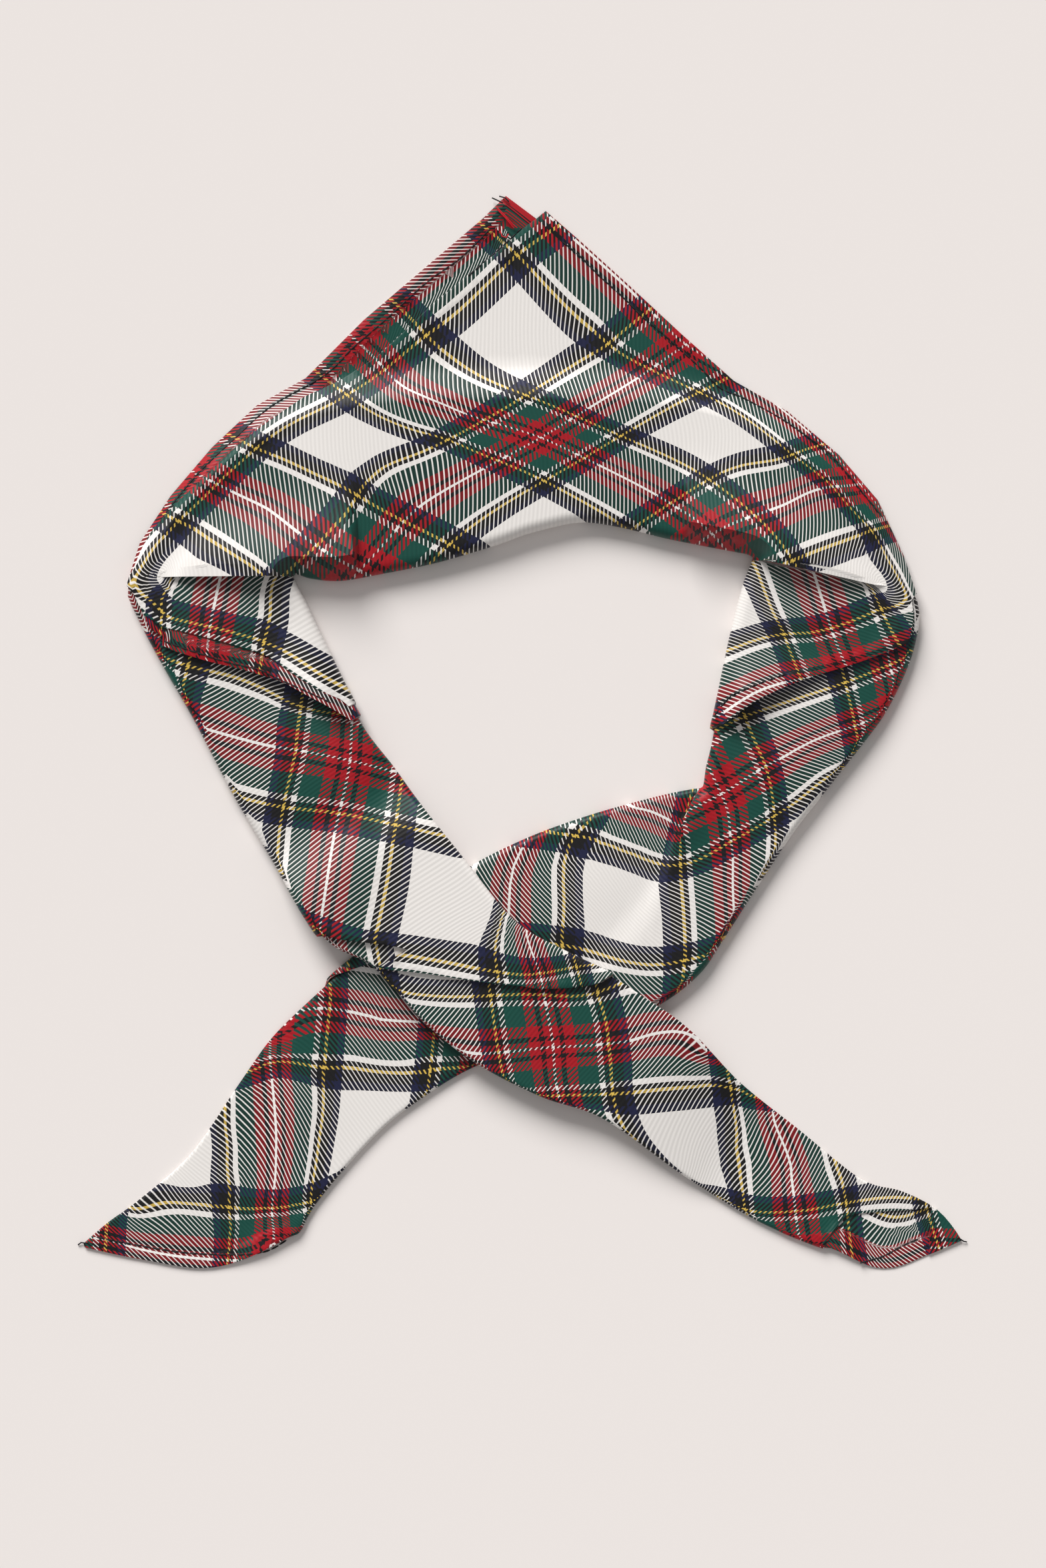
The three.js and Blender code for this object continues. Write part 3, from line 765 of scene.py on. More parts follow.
# Check, panel by panel: the repeats across and along at which a line runs, and places on it, read from
# the photo in mm
blk, yel, wid, hemRight = 0.172, 0.256, 0.297, 0.53
checkLines = {
    "topSheet": [
        (-yel, -yel, [(-1.8, 152.9)]),
        (-wid, -wid, [(-1.8, 156.7)]),
        (-blk, -blk, [(-1.6, 143.9)]),
        (blk, -blk, [(-20.4, 126.8)]),
        (-blk, blk, [(16.4, 124.9)]),
        (yel, -yel, [(-30.9, 127.2)]),
        (wid, -wid, [(-35, 127.6)]),
        (0.5, -wid, [(-45.7, 118.2)]),
        (0.5, -yel, [(-44.2, 116.3)]),
        (1 - yel, -yel, [(-56.2, 107.9)]),
        (1 - wid, -wid, [(-56.2, 110.5)]),
        (1 - blk, -blk, [(-56.2, 101.7)]),
        (1 + blk, -blk, [(-75, 92.3)]),
        (1 - blk, blk, [(-36, 92.8)]),
        (1 + blk, blk, [(-54.9, 83.1)]),
        (1 - yel, yel, [(-23.8, 93.4)]),
        (1 + yel, -yel, [(-85.1, 90.6)]),
        (1 + wid, -wid, [(-89.3, 89.8)]),
        (1.5, -wid, [(-99.6, 80.1)]),
        (1.5, -yel, [(-97.7, 79.3)]),
        (2 - yel, -yel, [(-110.1, 67.3)]),
        (2 - wid, -wid, [(-110.1, 70.5)]),
        (2 - blk, -blk, [(-109.4, 59.8)]),
        (-yel, yel, [(27.5, 124.4)]),
        (-wid, wid, [(31.2, 124.4)]),
        (-0.5, 0.5, [(52.3, 124.2)]),
        (0.5, 0.5, [(5.9, 94)]),
        (0, 1, [(60.3, 94.7)]),
        (1, 1, [(5.7, 63.7)]),
        (-blk, 2 - blk, [(109.5, 56.4)]),
        (-yel, 2 - yel, [(111.6, 64.7)]),
        (-wid, 2 - wid, [(111.2, 66.6)]),
        (-yel, 1 + yel, [(86.1, 88.5)]),
        (-wid, 1 + wid, [(89.6, 87.8)]),
        (-0.5, 1.5, [(108, 79.3)]),
        (-wid, 1.5, [(100.5, 78.4)]),
        (-yel, 1.5, [(99, 78.4)]),
        (0.5, None, [(-38.4, 110.5), (-17.9, 101.3)]),
        (1.5, None, [
            (-91.5, 76.1), (-85.5, 73.3), (-81.6, 71.4), (-77.3, 68.1), (-71.8, 63.7), (-65.8, 59.4),
            (-63, 57.4), (-58.1, 54.4)]),
        (2 - wid, None, [(-103, 67.1), (-95.3, 62.2), (-88.3, 57.2), (-82.3, 52.7)]),
        (2 - yel, None, [(-105.2, 65.1), (-98.5, 60.4), (-90.8, 55.5), (-85.5, 52.3)]),
        (None, yel, [(-56.6, 69.2), (-59.8, 66), (-65.1, 59.4), (-70.1, 55.1), (-74.6, 51.7)]),
        (None, wid, [(-60.9, 60.4), (-66.4, 55.1), (-71.4, 51.2)]),
        (None, blk, [(-65.8, 69.2), (-71.4, 63.2), (-79.9, 54), (-82.7, 51.2)]),
        (None, -blk, [(-115.4, 52.3)]),
        (2 - blk, None, [(-104.5, 55.5), (-101.3, 54), (-97.5, 52.3)]),
        (-wid, None, [(7.8, 147.1), (24.1, 131.9)]),
        (-0.5, None, [(34.8, 141.3), (41.9, 134.3), (116.5, 68.8), (120, 63.4)]),
        (None, yel, [(-30.9, 90), (-42.7, 85.7), (-54, 73.5)]),
        (None, -yel, [(-113.1, 63.7), (-117.2, 59.8), (-120.1, 55.3), (-122.9, 50.6)]),
        (None, 1 + yel, [(63.5, 82.9), (70.3, 85.3), (81.4, 87), (97.3, 92.5)]),
        (None, 1.5, [(75.2, 69.4), (83.8, 72.6), (90.4, 76.1), (96, 78)]),
        (-yel, None, [(114.8, 59.4), (117.4, 53.6), (119.5, 50.2), (120.8, 45.9)]),
    ],
    "bendLeft": [
        (2 + yel, -yel, [(-115.2, 38.6)]),
        (3 - yel, -yel, [(-82.7, 28.6)]),
        (3 - wid, -wid, [(-85.5, 27.3)]),
        (2 + wid, None, [(-111.2, 50.2), (-113.3, 42)]),
        (2.5, None, [(-96.4, 50.2), (-98.1, 42), (-99.2, 37.1), (-100.2, 31.3)]),
        (3 - wid, None, [(-81.2, 49.5), (-83.3, 38.2), (-84.4, 33.3)]),
        (3 - yel, None, [(-80.3, 46.7), (-80.6, 37.5), (-81.6, 32.2)]),
        (3 - blk, None, [(-73.5, 48), (-74.6, 34.3)]),
        (None, -yel, [
            (-122.9, 50.6), (-123.1, 49.1), (-122.1, 46.3), (-120.1, 44.2), (-118.2, 41.8), (-113.3, 36.7),
            (-107.3, 35.4), (-99.6, 33.5), (-94.3, 32.4), (-88.3, 30.5), (-77.8, 26.8), (-71.8, 23.4),
            (-66.4, 19.6), (-60.9, 16.4), (-58.1, 14.6)]),
        (None, -blk, [
            (-112.9, 43.1), (-105.2, 40.8), (-98.1, 39.3), (-91.5, 37.5), (-83.8, 36.5), (-79.9, 35.2),
            (-76.3, 32.8)]),
    ],
    "bendRight": [
        (-yel, 2 + yel, [(114.2, 39.5)]),
        (-wid, 2 + wid, [(113.3, 36)]),
        (-wid, 2.5, [(99.2, 30.9)]),
        (-wid, 3 - wid, [(86.4, 29.2)]),
        (-yel, 3 - yel, [(83.6, 31.3)]),
        (None, 2 + wid, [(109, 49.1), (111.2, 43.1), (116.5, 28.3)]),
        (None, 2 + yel, [(112, 48.2), (116.5, 35), (121.5, 26.2)]),
        (None, 2.5, [(92.6, 51.9), (96, 41), (103.1, 21.3)]),
        (None, 3 - wid, [(82.7, 37.8), (89.4, 21.9)]),
        (-yel, None, [(78.4, 30.5), (91.5, 31.6), (102, 34.3)]),
        (-hemRight, None, [
            (125.5, 25.1), (106.5, 19.4), (93.2, 15.7), (84.7, 14), (75.2, 10.8), (68.2, 6.5), (63.3, 3.1)]),
    ],
    "armLeft": [
        (-yel, 1 - yel, [(-107.1, 21.3)]),
        (-wid, 1 - wid, [(-110.3, 18.7)]),
        (wid, 0.5, [(-69.9, -6.1)]),
        (yel, 0.5, [(-72.4, -5.7)]),
        (0.5, 0.5, [(-55.1, -9.1)]),
        (yel, yel, [(-76.5, -24.1)]),
        (wid, wid, [(-73.3, -21.3)]),
        (0.5, wid, [(-57.9, -23)]),
        (0.5, yel, [(-58.7, -26)]),
        (1 - blk, blk, [(-34.8, -37.1)]),
        (1 + blk, -blk, [(-14.2, -67.7)]),
        (1 - blk, -blk, [(-39.3, -64.1)]),
        (1 - yel, -yel, [(-47.8, -70.3)]),
        (1 + yel, -yel, [(-8, -76.5)]),
        (0.5, None, [(-54.7, 1.8), (-60.4, -34.1)]),
        (yel, None, [(-71.4, 4.6), (-75.6, -19.4), (-77.8, -30.9), (-78.4, -39.7)]),
        (1 + yel, None, [(-5.7, -56), (-7.2, -62.6)]),
        (1.5, None, [(0.5, -60.5), (3.8, -72.5), (5.3, -76.1)]),
        (None, 1 - yel, [
            (-117.6, 24.5), (-113.3, 23.4), (-99.6, 19.4), (-90.8, 17.4), (-82.7, 14), (-78.8, 11.9),
            (-75.6, 9.1), (-69, 7.4), (-56.6, 5.4)]),
        (None, 1 - wid, [
            (-116.1, 21.3), (-104.5, 17.4), (-99.6, 16.4), (-90.8, 13.6), (-82.7, 10.8), (-77.3, 8.7),
            (-71.8, 6.9), (-56.6, 3.7)]),
        (-yel, None, [(-108.4, 16.4), (-109.2, 9.7)]),
        (-blk, None, [(-99.6, 20.6), (-100.9, 15.7), (-103, 8.7), (-103, 3.1)]),
        (blk, None, [(-77.3, 8.7), (-78.8, 2.7)]),
        (None, 0.5, [(-104.1, 1.8), (-80.1, -4.6), (-42.5, -12.3)]),
        (None, -yel, [
            (-65.8, -64.5), (-57.7, -68.2), (-37.3, -71.2), (-26, -73.1), (-15.3, -75.4), (-2.7, -77.2),
            (3.8, -77.4), (10.4, -76.3), (16.8, -74.8), (23, -74.6)]),
        (None, -wid, [(-41.4, -74), (-15.7, -78), (-5.9, -79.3), (7.4, -78.7), (20.9, -76.1), (25.6, -75.7)]),
    ],
    "tailLeft": [
        (None, 1 - yel, [
            (-43.1, -81.2), (-36.9, -83.4), (-26, -84.4), (-17, -84.4), (-8, -84), (3.8, -83.6),
            (12.5, -84.2), (21.3, -84.2), (30.1, -80.6)]),
        (None, 1 - wid, [
            (-39.7, -84.9), (-35, -85.9), (-26, -86.8), (-17, -87), (30.9, -83.6), (34.4, -82.3),
            (37.8, -82.7)]),
        (wid, 1 - wid, [(-7.4, -86.6)]),
        (1 - wid, 1 - wid, [(21.7, -85.7)]),
        (None, 0.5, [
            (-18.5, -102), (-14.9, -102.8), (34.4, -98.6), (43.1, -95.8), (48.7, -95.4), (53.6, -96.6),
            (58.8, -102.4)]),
        (0.5, 0.5, [(9.8, -100.5)]),
        (1 - wid, 0.5, [(24.5, -99.8)]),
        (1 - yel, 0.5, [(27.3, -99.4)]),
        (wid, 0.5, [(-5.2, -102.2)]),
        (yel, 0.5, [(-7.8, -102.2)]),
        (0.5, None, [(7, -84.9), (10.4, -110.8)]),
        (yel, None, [(-10.8, -80.8), (-9.9, -87.4), (-7.2, -105.4)]),
        (1 - yel, None, [(24.3, -86.1), (28.2, -110.8)]),
        (1 - wid, None, [(25.6, -111.2)]),
        (1 - wid, None, [(22.2, -87), (24.5, -98.6), (25.7, -112.4)]),
        (1 - yel, None, [(25.3, -87.8), (27.6, -100.9), (28.8, -115.5), (29.9, -120.9)]),
        (1 - blk, None, [
            (31.4, -83.9), (33.4, -92.4), (35.3, -106.3), (37, -121.7), (39.9, -128.6), (46.1, -136.3),
            (50.3, -140.9)]),
        (1 + blk, None, [(60.7, -119.4), (61.9, -129.4), (63, -139.4)]),
        (1 + yel, None, [(66.1, -112.4), (67.3, -118.6), (68.8, -127.8)]),
        (1 + wid, None, [(68.8, -114), (70.4, -124.8), (72.4, -137.1)]),
        (1.5, None, [(80.4, -123.2), (83.8, -132.5), (86.3, -139.4)]),
        (None, 0.5, [
            (20.7, -100.1), (25.3, -99.7), (34.5, -98.6), (39.2, -97), (43.8, -96.1), (48.4, -95.6), (51.5, -95.9),
            (54.6, -97.4), (56.5, -98.9)]),
        (None, wid, [
            (20.7, -113.2), (25.7, -112.8), (36.1, -111.7), (43.8, -111), (51.5, -110.5), (59.2, -110.1),
            (63.8, -110.9), (66.9, -112.4)]),
        (None, yel, [
            (20.7, -116.3), (28.4, -115.5), (36.1, -114.9), (43.8, -114.1), (51.5, -113.6), (59.2, -113),
            (63.8, -113.2), (67.7, -114), (71.5, -115.9), (73.8, -117.4)]),
        (None, blk, [
            (20.7, -120.1), (29.9, -122.1), (36.8, -122.4), (43.8, -121.7), (51.5, -121.1), (60.7, -120.3),
            (68.4, -119.7), (74.6, -120.9), (79.2, -121.7)]),
        (1 + yel, None, [(67.1, -113.4), (68, -121.5), (69.3, -137.6), (70.7, -149.3)]),
        (1 + wid, None, [(69, -118.3), (71.1, -133.1), (72.5, -142.1), (73.5, -154.7)]),
        (1.5, None, [(80.5, -124.6), (83.7, -132.2), (85.9, -141.2), (87, -149.3), (87.6, -156.5)]),
        (2 - wid, None, [(98.1, -141.2), (100.5, -147.5), (101.7, -152.9)]),
        (2 - yel, None, [(102.1, -142.1), (103.5, -149.3), (103.9, -152)]),
        (2 + blk, None, [(125.2, -153.8), (129.1, -166.4)]),
        (None, yel, [(63.5, -113.2), (70.2, -114.4)]),
        (None, -yel, [
            (63.5, -150.4), (72.5, -153.4), (79.6, -153.8), (87, -153.5), (94, -152.7), (103.5, -150.9),
            (113.8, -149.3), (121, -149), (126.4, -149.5)]),
        (None, -wid, [
            (63.5, -152), (73.4, -155.4), (87.4, -155.4), (101.7, -153.5), (113.8, -152), (121, -151.8),
            (126.4, -152.2)]),
    ],
    "armRight": [
        (1 - wid, wid, [(69.2, 1.4)]),
        (0.5, 0.5, [(63.5, -19.8)]),
        (0.5, wid, [(75.4, -12.3)]),
        (0.5, yel, [(77.6, -10.8)]),
        (yel, yel, [(80.4, -26.7)]),
        (wid, wid, [(78.2, -26)]),
        (wid, 0.5, [(66.2, -32.6)]),
        (yel, 0.5, [(66.7, -35)]),
        (yel, 1 - yel, [(50.4, -42.3)]),
        (wid, 1 - wid, [(52.8, -39.3)]),
        (-yel, 1 - yel, [(51.7, -72.9)]),
        (0.5, None, [(82.9, -8.3), (105.4, 1.6)]),
        (None, 0.5, [(60.9, -14.5), (65.8, -25.8), (67.3, -40.6), (67.7, -60)]),
        (None, yel, [(72.2, 2.2), (75, -4.6), (79.5, -18.3), (80.8, -35.6)]),
        (None, wid, [(78.7, -33.5), (78, -45.5)]),
        (yel, None, [(98.1, -14), (86.4, -23.2), (54.9, -41.4)]),
        (None, 1 - yel, [(49.8, -35.6), (51.1, -52.8), (52.1, -69.9)]),
        (-yel, None, [(64.7, -67.1), (57.5, -71.4)]),
    ],
    "foldRight": [
        (blk, 1 + blk, [(20, -41)]),
        (blk, 1 - blk, [(43.1, -48.3)]),
        (-blk, 1 - blk, [(44.6, -68.2)]),
        (-blk, 1 + blk, [(20.2, -63)]),
        (yel, 1 + yel, [(16.4, -33.1)]),
        (yel, 1 - yel, [(50.4, -42.3)]),
        (-yel, 1 - yel, [(51.7, -72.9)]),
        (wid, 0.5, [(66.2, -32.6)]),
        (yel, None, [(22.4, -33.9), (37.8, -39.9), (42.9, -41.9)]),
        (-yel, None, [(16.4, -68.8), (31.2, -72.9), (41, -74.4), (44.8, -74.4)]),
        (0.5, None, [(35, -24.1), (41, -25.2), (48.3, -29), (53, -31.2)]),
        (None, 1.5, [(1.6, -34.6), (-1.6, -39.5), (-3.7, -46.1), (-4.4, -56.4)]),
        (None, 1 + yel, [(22.2, -27.7), (14, -38.9), (13.2, -50.2), (12.3, -62.6)]),
        (None, 1 + wid, [(10.6, -39.5), (10.2, -50.2), (10.4, -61.8)]),
        (None, 1 - yel, [(51.1, -52.8), (52.1, -69.9)]),
        (None, 0.5, [(67.3, -40.6), (67.7, -60)]),
    ],
    "tailRight": [
        (None, yel, [(-61.9, -81.2), (-63.1, -102.2), (-64.2, -124.7), (-65.7, -135.2), (-67.9, -148.6)]),
        (None, wid, [(-64.9, -87.2), (-66.1, -103.7), (-66.4, -117.2), (-67.5, -129.2), (-69.1, -142.6)]),
        (None, 0.5, [
            (-81.1, -102.2), (-79.9, -115.7), (-78.9, -129.2), (-79.2, -142.6), (-80.4, -154.6), (-81.4, -165.1)]),
        (None, 1 - wid, [(-92.9, -117.2), (-92.9, -127.7), (-92.3, -139.6), (-91.9, -154.6), (-92.2, -163.6)]),
        (None, 1 - yel, [(-95.2, -117.2), (-94.6, -132.2), (-93.8, -145.6), (-93.4, -157.6), (-94.1, -166.6)]),
        (None, 1 - blk, [(-100.6, -124.7), (-100.6, -142.6), (-99.7, -154.6), (-99.4, -168.1)]),
        (0.5, None, [(-64.9, -88.7), (-50, -90.2), (-30.5, -93.2)]),
        (wid, None, [(-81.4, -104), (-66.4, -104.4), (-55.9, -104), (-30.5, -104.4), (-15.5, -104.4)]),
        (yel, None, [(-87.4, -108.9), (-79.9, -105.5), (-64.9, -107.4), (-57.4, -107.4), (-30.5, -108.2)]),
        (blk, None, [(-91.9, -114.9), (-58.9, -114.9), (-30.5, -114.9)]),
        (-blk, None, [(-115.9, -144.1), (-99.4, -144.1), (-64.9, -143.4), (-58.9, -140.4)]),
        (-yel, None, [
            (-124.1, -153.1), (-109.9, -150.9), (-99.4, -152.1), (-87.4, -152.8), (-73.9, -151.6),
            (-67.9, -150.4)]),
        (-wid, None, [
            (-125.6, -154.6), (-109.9, -153.4), (-99.4, -154.6), (-87.4, -155.4), (-76.9, -154.6),
            (-69.4, -153.1)]),
        (-0.5, None, [(-132.3, -162.9), (-109.9, -168.1), (-94.9, -169.2), (-82.9, -168.1)]),
        (None, 1 + blk, [(-126.4, -154.6), (-127.1, -164.4)]),
        (0.5, wid, [(-64.5, -88.1)]),
        (0.5, yel, [(-61.9, -88.5)]),
        (wid, wid, [(-66.4, -103.7)]),
        (None, wid, [(-64.3, -84.9), (-67.1, -108.8)]),
        (None, yel, [(-61.3, -82.3), (-63.2, -105.4)]),
        (0.5, None, [
            (-71.1, -89.1), (-55.1, -89.6), (-50, -91.1), (-45.5, -92.1), (-41.2, -92.4), (-33.3, -92.8)]),
        (wid, None, [(-57, -104.6), (-50, -105.2), (-38.4, -106.1)]),
        (yel, None, [(-75.6, -105.6), (-57, -107.3), (-30.7, -109.5)]),
        (0, 1, [(-108.8, -137.9)]),
        (0.5, 0.5, [(-80.8, -97.3)]),
        (-0.5, 0.5, [(-79.3, -162.8)]),
    ],
}
# Length unit of the fit, and how closely it keeps to its samples
plateMm = 50.0
firmness = 0.003


# Smooth function of a place that passes near its samples
def thinPlate(samples):
    places = np.array([s[:2] for s in samples]) / plateMm
    values = np.array([s[2] for s in samples])
    gaps = np.linalg.norm(places[:, None] - places[None, :], axis=2)
    core = gaps ** 2 * np.log(gaps + 1e-9)
    count = len(samples)
    plane = np.column_stack([np.ones(count), places])
    whole = np.zeros((count + 3, count + 3))
    whole[:count, :count] = core + firmness * np.eye(count)
    whole[:count, count:] = plane
    whole[count:, :count] = plane.T
    answer = np.linalg.solve(whole, np.concatenate([values, np.zeros(3)]))

    def read(spots):
        spots = np.asarray(spots) / plateMm
        far = np.linalg.norm(spots[:, None] - places[None, :], axis=2)
        bent = (far ** 2 * np.log(far + 1e-9)) @ answer[:count]
        return bent + np.column_stack([np.ones(len(spots)), spots]) @ answer[count:]

    return read


panels = {}
for name, lines in checkLines.items():
    samplesA, samplesB = [], []
    for a, b, places in lines:
        for x, y in places:
            if a is not None:
                samplesA.append((x, y, a))
            if b is not None:
                samplesB.append((x, y, b))
    panels[name] = (thinPlate(samplesA), thinPlate(samplesB))


def panelPair(index, row, info):
    for tuck in creases:
        if tuck["layer"] != min(info["layer"], 4) or abs(index - tuck["from"]) > tuckForm["panelNear"]:
            continue
        upper, lower = tuck["panels"]
        if row.get("tuck") is tuck:
            sharp = 1 - row["step"] / (tuckForm["rows"] - 1)
        else:
            sharp = 1.0 if (index > tuck["from"]) == (tuck["upper"] > 0) else 0.0
        at = Vector((info["plan"][0], info["plan"][1], 0))
        blend = tuckForm["panelBlend"]
        soft = ease((forwardOf(tuck, info["share"], at) + blend) / (2 * blend))
        amount = ease((info["share"] - tuck["end"] + tuckForm["panelStart"]) / tuckForm["panelFade"])
        return upper, lower, lerp(sharp, soft, amount)
    own = panelAt(row, info["layer"])
    return own, own, 1.0


# The under ply's inner side: rows searched for its hem, how far that search is used, and the hem's place
# in the repeat
stripForm = {"rows": 14, "far": 12, "at": -0.506}


def hemGap(index, plan):
    best = math.inf
    near = stripForm["rows"]
    for k in range(max(0, index - near), min(len(underEdge) - 1, index + near)):
        p, q = vertices[underEdge[k]], vertices[underEdge[k + 1]]
        dx, dy = q.x - p.x, q.y - p.y
        size = dx * dx + dy * dy
        t = 0.0 if size < 1e-9 else min(1.0, max(0.0, ((plan[0] - p.x) * dx + (plan[1] - p.y) * dy) / size))
        best = min(best, math.hypot(plan[0] - p.x - t * dx, plan[1] - p.y - t * dy))
    return best


def checkCoordinates():
    spots, uppers, lowers, shares = [], [], [], []
    for _, _, info in paint:
        row = stationRows[info["row"]]
        plan = info["plan"]
        if info["layer"] % 2 == 1 and info["layer"] < 5:
            edge = widthPoint(row, 1)
            plan = (2 * edge[0] - plan[0], 2 * edge[1] - plan[1])
        upper, lower, share = panelPair(info["row"], row, info)
        spots.append(plan)
        uppers.append(upper)
        lowers.append(lower)
        shares.append(share)
    spots = np.array(spots)
    uppers, lowers, shares = np.array(uppers), np.array(lowers), np.array(shares)
    result = np.zeros((len(spots), 2))
    for name, reads in panels.items():
        for column in (0, 1):
            for names, weight in ((uppers, shares), (lowers, 1 - shares)):
                here = (names == name) & (weight > 0)
                if here.any():
                    result[here, column] += reads[column](spots[here]) * weight[here]
    for i, (name, faceSide, info) in enumerate(paint):
        if name == "under" and faceSide == "inn":
            gap = info["toHem"] if info["toHem"] > stripForm["far"] else hemGap(info["row"], info["plan"])
            away = gap / sizes["repeat"]
            result[i, 1] = stripForm["at"] + (-away if info["toHem"] < sizes["strip"] else away)
        elif name == "under":
            result[i] = result[i][::-1]
    return result


def makeMesh(name, places, polygons, coordinates):
    mesh = bpy.data.meshes.new(name)
    mesh.from_pydata([(p.x / 1000, p.y / 1000, p.z / 1000) for p in places], [], polygons)
    work = bmesh.new()
    work.from_mesh(mesh)
    if work.calc_volume(signed=True) < 0:
        bmesh.ops.reverse_faces(work, faces=work.faces)
    work.to_mesh(mesh)
    work.free()
    layer = mesh.uv_layers.new(name="check")
    order = np.zeros(len(mesh.loops), dtype=np.int64)
    mesh.loops.foreach_get("vertex_index", order)
    layer.data.foreach_set("uv", coordinates[order].astype(np.float32).ravel())
    for polygon in mesh.polygons:
        polygon.use_smooth = True
    mesh.set_sharp_from_angle(angle=math.radians(50))
    made = bpy.data.objects.new(name, mesh)
    bpy.context.scene.collection.objects.link(made)
    return made


coordinates = checkCoordinates()
scarfCloth = makeMesh("scarfCloth", vertices, faces, coordinates)
stage("scarf mesh, %d triangles" % sum(len(p.vertices) - 2 for p in scarfCloth.data.polygons))


# Shader maths on sockets
class Wire:
    def __init__(self, tree, socket):
        self.tree = tree
        self.socket = socket

    def node(self, kind, *inputs, **settings):
        made = self.tree.nodes.new(kind)
        for key, value in settings.items():
            setattr(made, key, value)
        for spot, value in enumerate(inputs):
            if value is None:
                continue
            if isinstance(value, Wire):
                self.tree.links.new(value.socket, made.inputs[spot])
            else:
                made.inputs[spot].default_value = value
        return made

    def math(self, operation, *others, clamp=False):
        made = self.node("ShaderNodeMath", self, *others, operation=operation, use_clamp=clamp)
        return Wire(self.tree, made.outputs[0])

    def __add__(self, other):
        return self.math("ADD", other)

    def __radd__(self, other):
        return self.math("ADD", other)

    def __sub__(self, other):
        return self.math("SUBTRACT", other)

    def __rsub__(self, other):
        return (self * -1.0).math("ADD", other)

    def __mul__(self, other):
        return self.math("MULTIPLY", other)

    def __rmul__(self, other):
        return self.math("MULTIPLY", other)

    def grey(self):
        made = self.node("ShaderNodeCombineXYZ", self, self, self)
        return Wire(self.tree, made.outputs[0])

    def luma(self):
        made = self.node("ShaderNodeRGBToBW", self)
        return Wire(self.tree, made.outputs[0])

    def steep(self, gain):
        return ((self - 0.5) * gain).math("ADD", 0.5, clamp=True)


def linear(colour):
    return tuple(pow(c / 255, 2.2) for c in colour) + (1.0,)


dyes = {
    "white": (241, 237, 233),
    "navy": (28, 32, 64),
    "black": (18, 17, 20),
    "yellow": (222, 186, 84),
    "green": (10, 74, 64),
    "red": (168, 12, 30),
}
sett = (
    ("white", 0.0), ("navy", 0.344), ("black", 0.4125), ("yellow", 0.5), ("black", 0.525), ("white", 0.569),
    ("green", 0.619), ("red", 0.797), ("black", 0.891), ("red", 0.9375), ("white", 0.9875),
)
# Ribs to a repeat, how much wider the darker yarn is, how sharp its edge, the painted shade in the grooves, and the
# painted shade on the darker yarn
weave = {"ribs": 42.0, "widen": 0.29, "edge": 4.0, "groove": 0.1, "sinkShade": 1.35}
sheen = {"Roughness": 0.5, "Specular IOR Level": 0.35, "Sheen Weight": 0.12, "Sheen Roughness": 0.4}
relief = {"Strength": 0.25, "Distance": 0.0002}


def newMaterial(name):
    made = bpy.data.materials.new(name)
    made.use_nodes = True
    tree = made.node_tree
    shader = next(n for n in tree.nodes if n.type == "BSDF_PRINCIPLED")
    return made, tree, shader


def settColour(along):
    fold = along.math("PINGPONG", 0.5) * 2.0
    made = fold.node("ShaderNodeValToRGB", fold)
    made.color_ramp.interpolation = "CONSTANT"
    stops = made.color_ramp.elements
    while len(stops) > 1:
        stops.remove(stops[-1])
    stops[0].position = 0.0
    stops[0].color = linear(dyes["white"])
    for dye, place in sett[1:]:
        stop = stops.new(place)
        stop.color = linear(dyes[dye])
    return Wire(along.tree, made.outputs[0])


def blendColour(factor, one, two, kind="MIX"):
    made = one.tree.nodes.new("ShaderNodeMix")
    made.data_type = "RGBA"
    made.blend_type = kind
    tree = made.id_data
    for spot, value in ((0, factor), (6, one), (7, two)):
        if isinstance(value, Wire):
            tree.links.new(value.socket, made.inputs[spot])
        else:
            made.inputs[spot].default_value = value
    return Wire(tree, made.outputs[2])


def silkMaterial():
    made, tree, shader = newMaterial("silk")
    source = tree.nodes.new("ShaderNodeUVMap")
    source.uv_map = "check"
    parts = tree.nodes.new("ShaderNodeSeparateXYZ")
    tree.links.new(source.outputs[0], parts.inputs[0])
    a, b = Wire(tree, parts.outputs[0]), Wire(tree, parts.outputs[1])
    wave = ((a - b) * weave["ribs"]).math("PINGPONG", 0.5) * 2.0
    one, two = settColour(a), settColour(b)
    darker = two.luma() - one.luma()
    warp = (wave + darker * weave["widen"]).steep(weave["edge"])
    colour = blendColour(warp, two, one)
    # Painted shade multiplied into the base colour: the darker yarn is darkened as if sunk in the weave, and the
    # grooves between the ribs are darkened
    sunkYarnShade = ((warp - 0.5) * darker).math("MAXIMUM", 0.0)
    shade = (wave * weave["groove"] + (1 - weave["groove"])) * (1.0 - sunkYarnShade * weave["sinkShade"])
    colour = blendColour(1.0, colour, shade.grey(), "MULTIPLY")
    tree.links.new(colour.socket, shader.inputs["Base Color"])
    bump = wave.node("ShaderNodeBump")
    for node, values in ((shader, sheen), (bump, relief)):
        for key, value in values.items():
            node.inputs[key].default_value = value
    tree.links.new(wave.socket, bump.inputs["Height"])
    tree.links.new(bump.outputs[0], shader.inputs["Normal"])
    return made


scarfCloth.data.materials.append(silkMaterial())
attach(scarfCloth, "root")
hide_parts("scarf")
stage("silk")

surface = BVHTree.FromPolygons(
    [v.co for v in scarfCloth.data.vertices], [tuple(p.vertices) for p in scarfCloth.data.polygons])


def onCloth(x, y, above=0.05):
    place, _, _, _ = surface.ray_cast(Vector((x / 1000, y / 1000, 0.2)), Vector((0, 0, -1)))
    height = place.z if place else 0.0005
    return Vector((x / 1000, y / 1000, height + above / 1000))


def plainMaterial(name, colour, roughness):
    made, _, shader = newMaterial(name)
    shader.inputs["Base Color"].default_value = linear(colour)
    shader.inputs["Roughness"].default_value = roughness
    return made


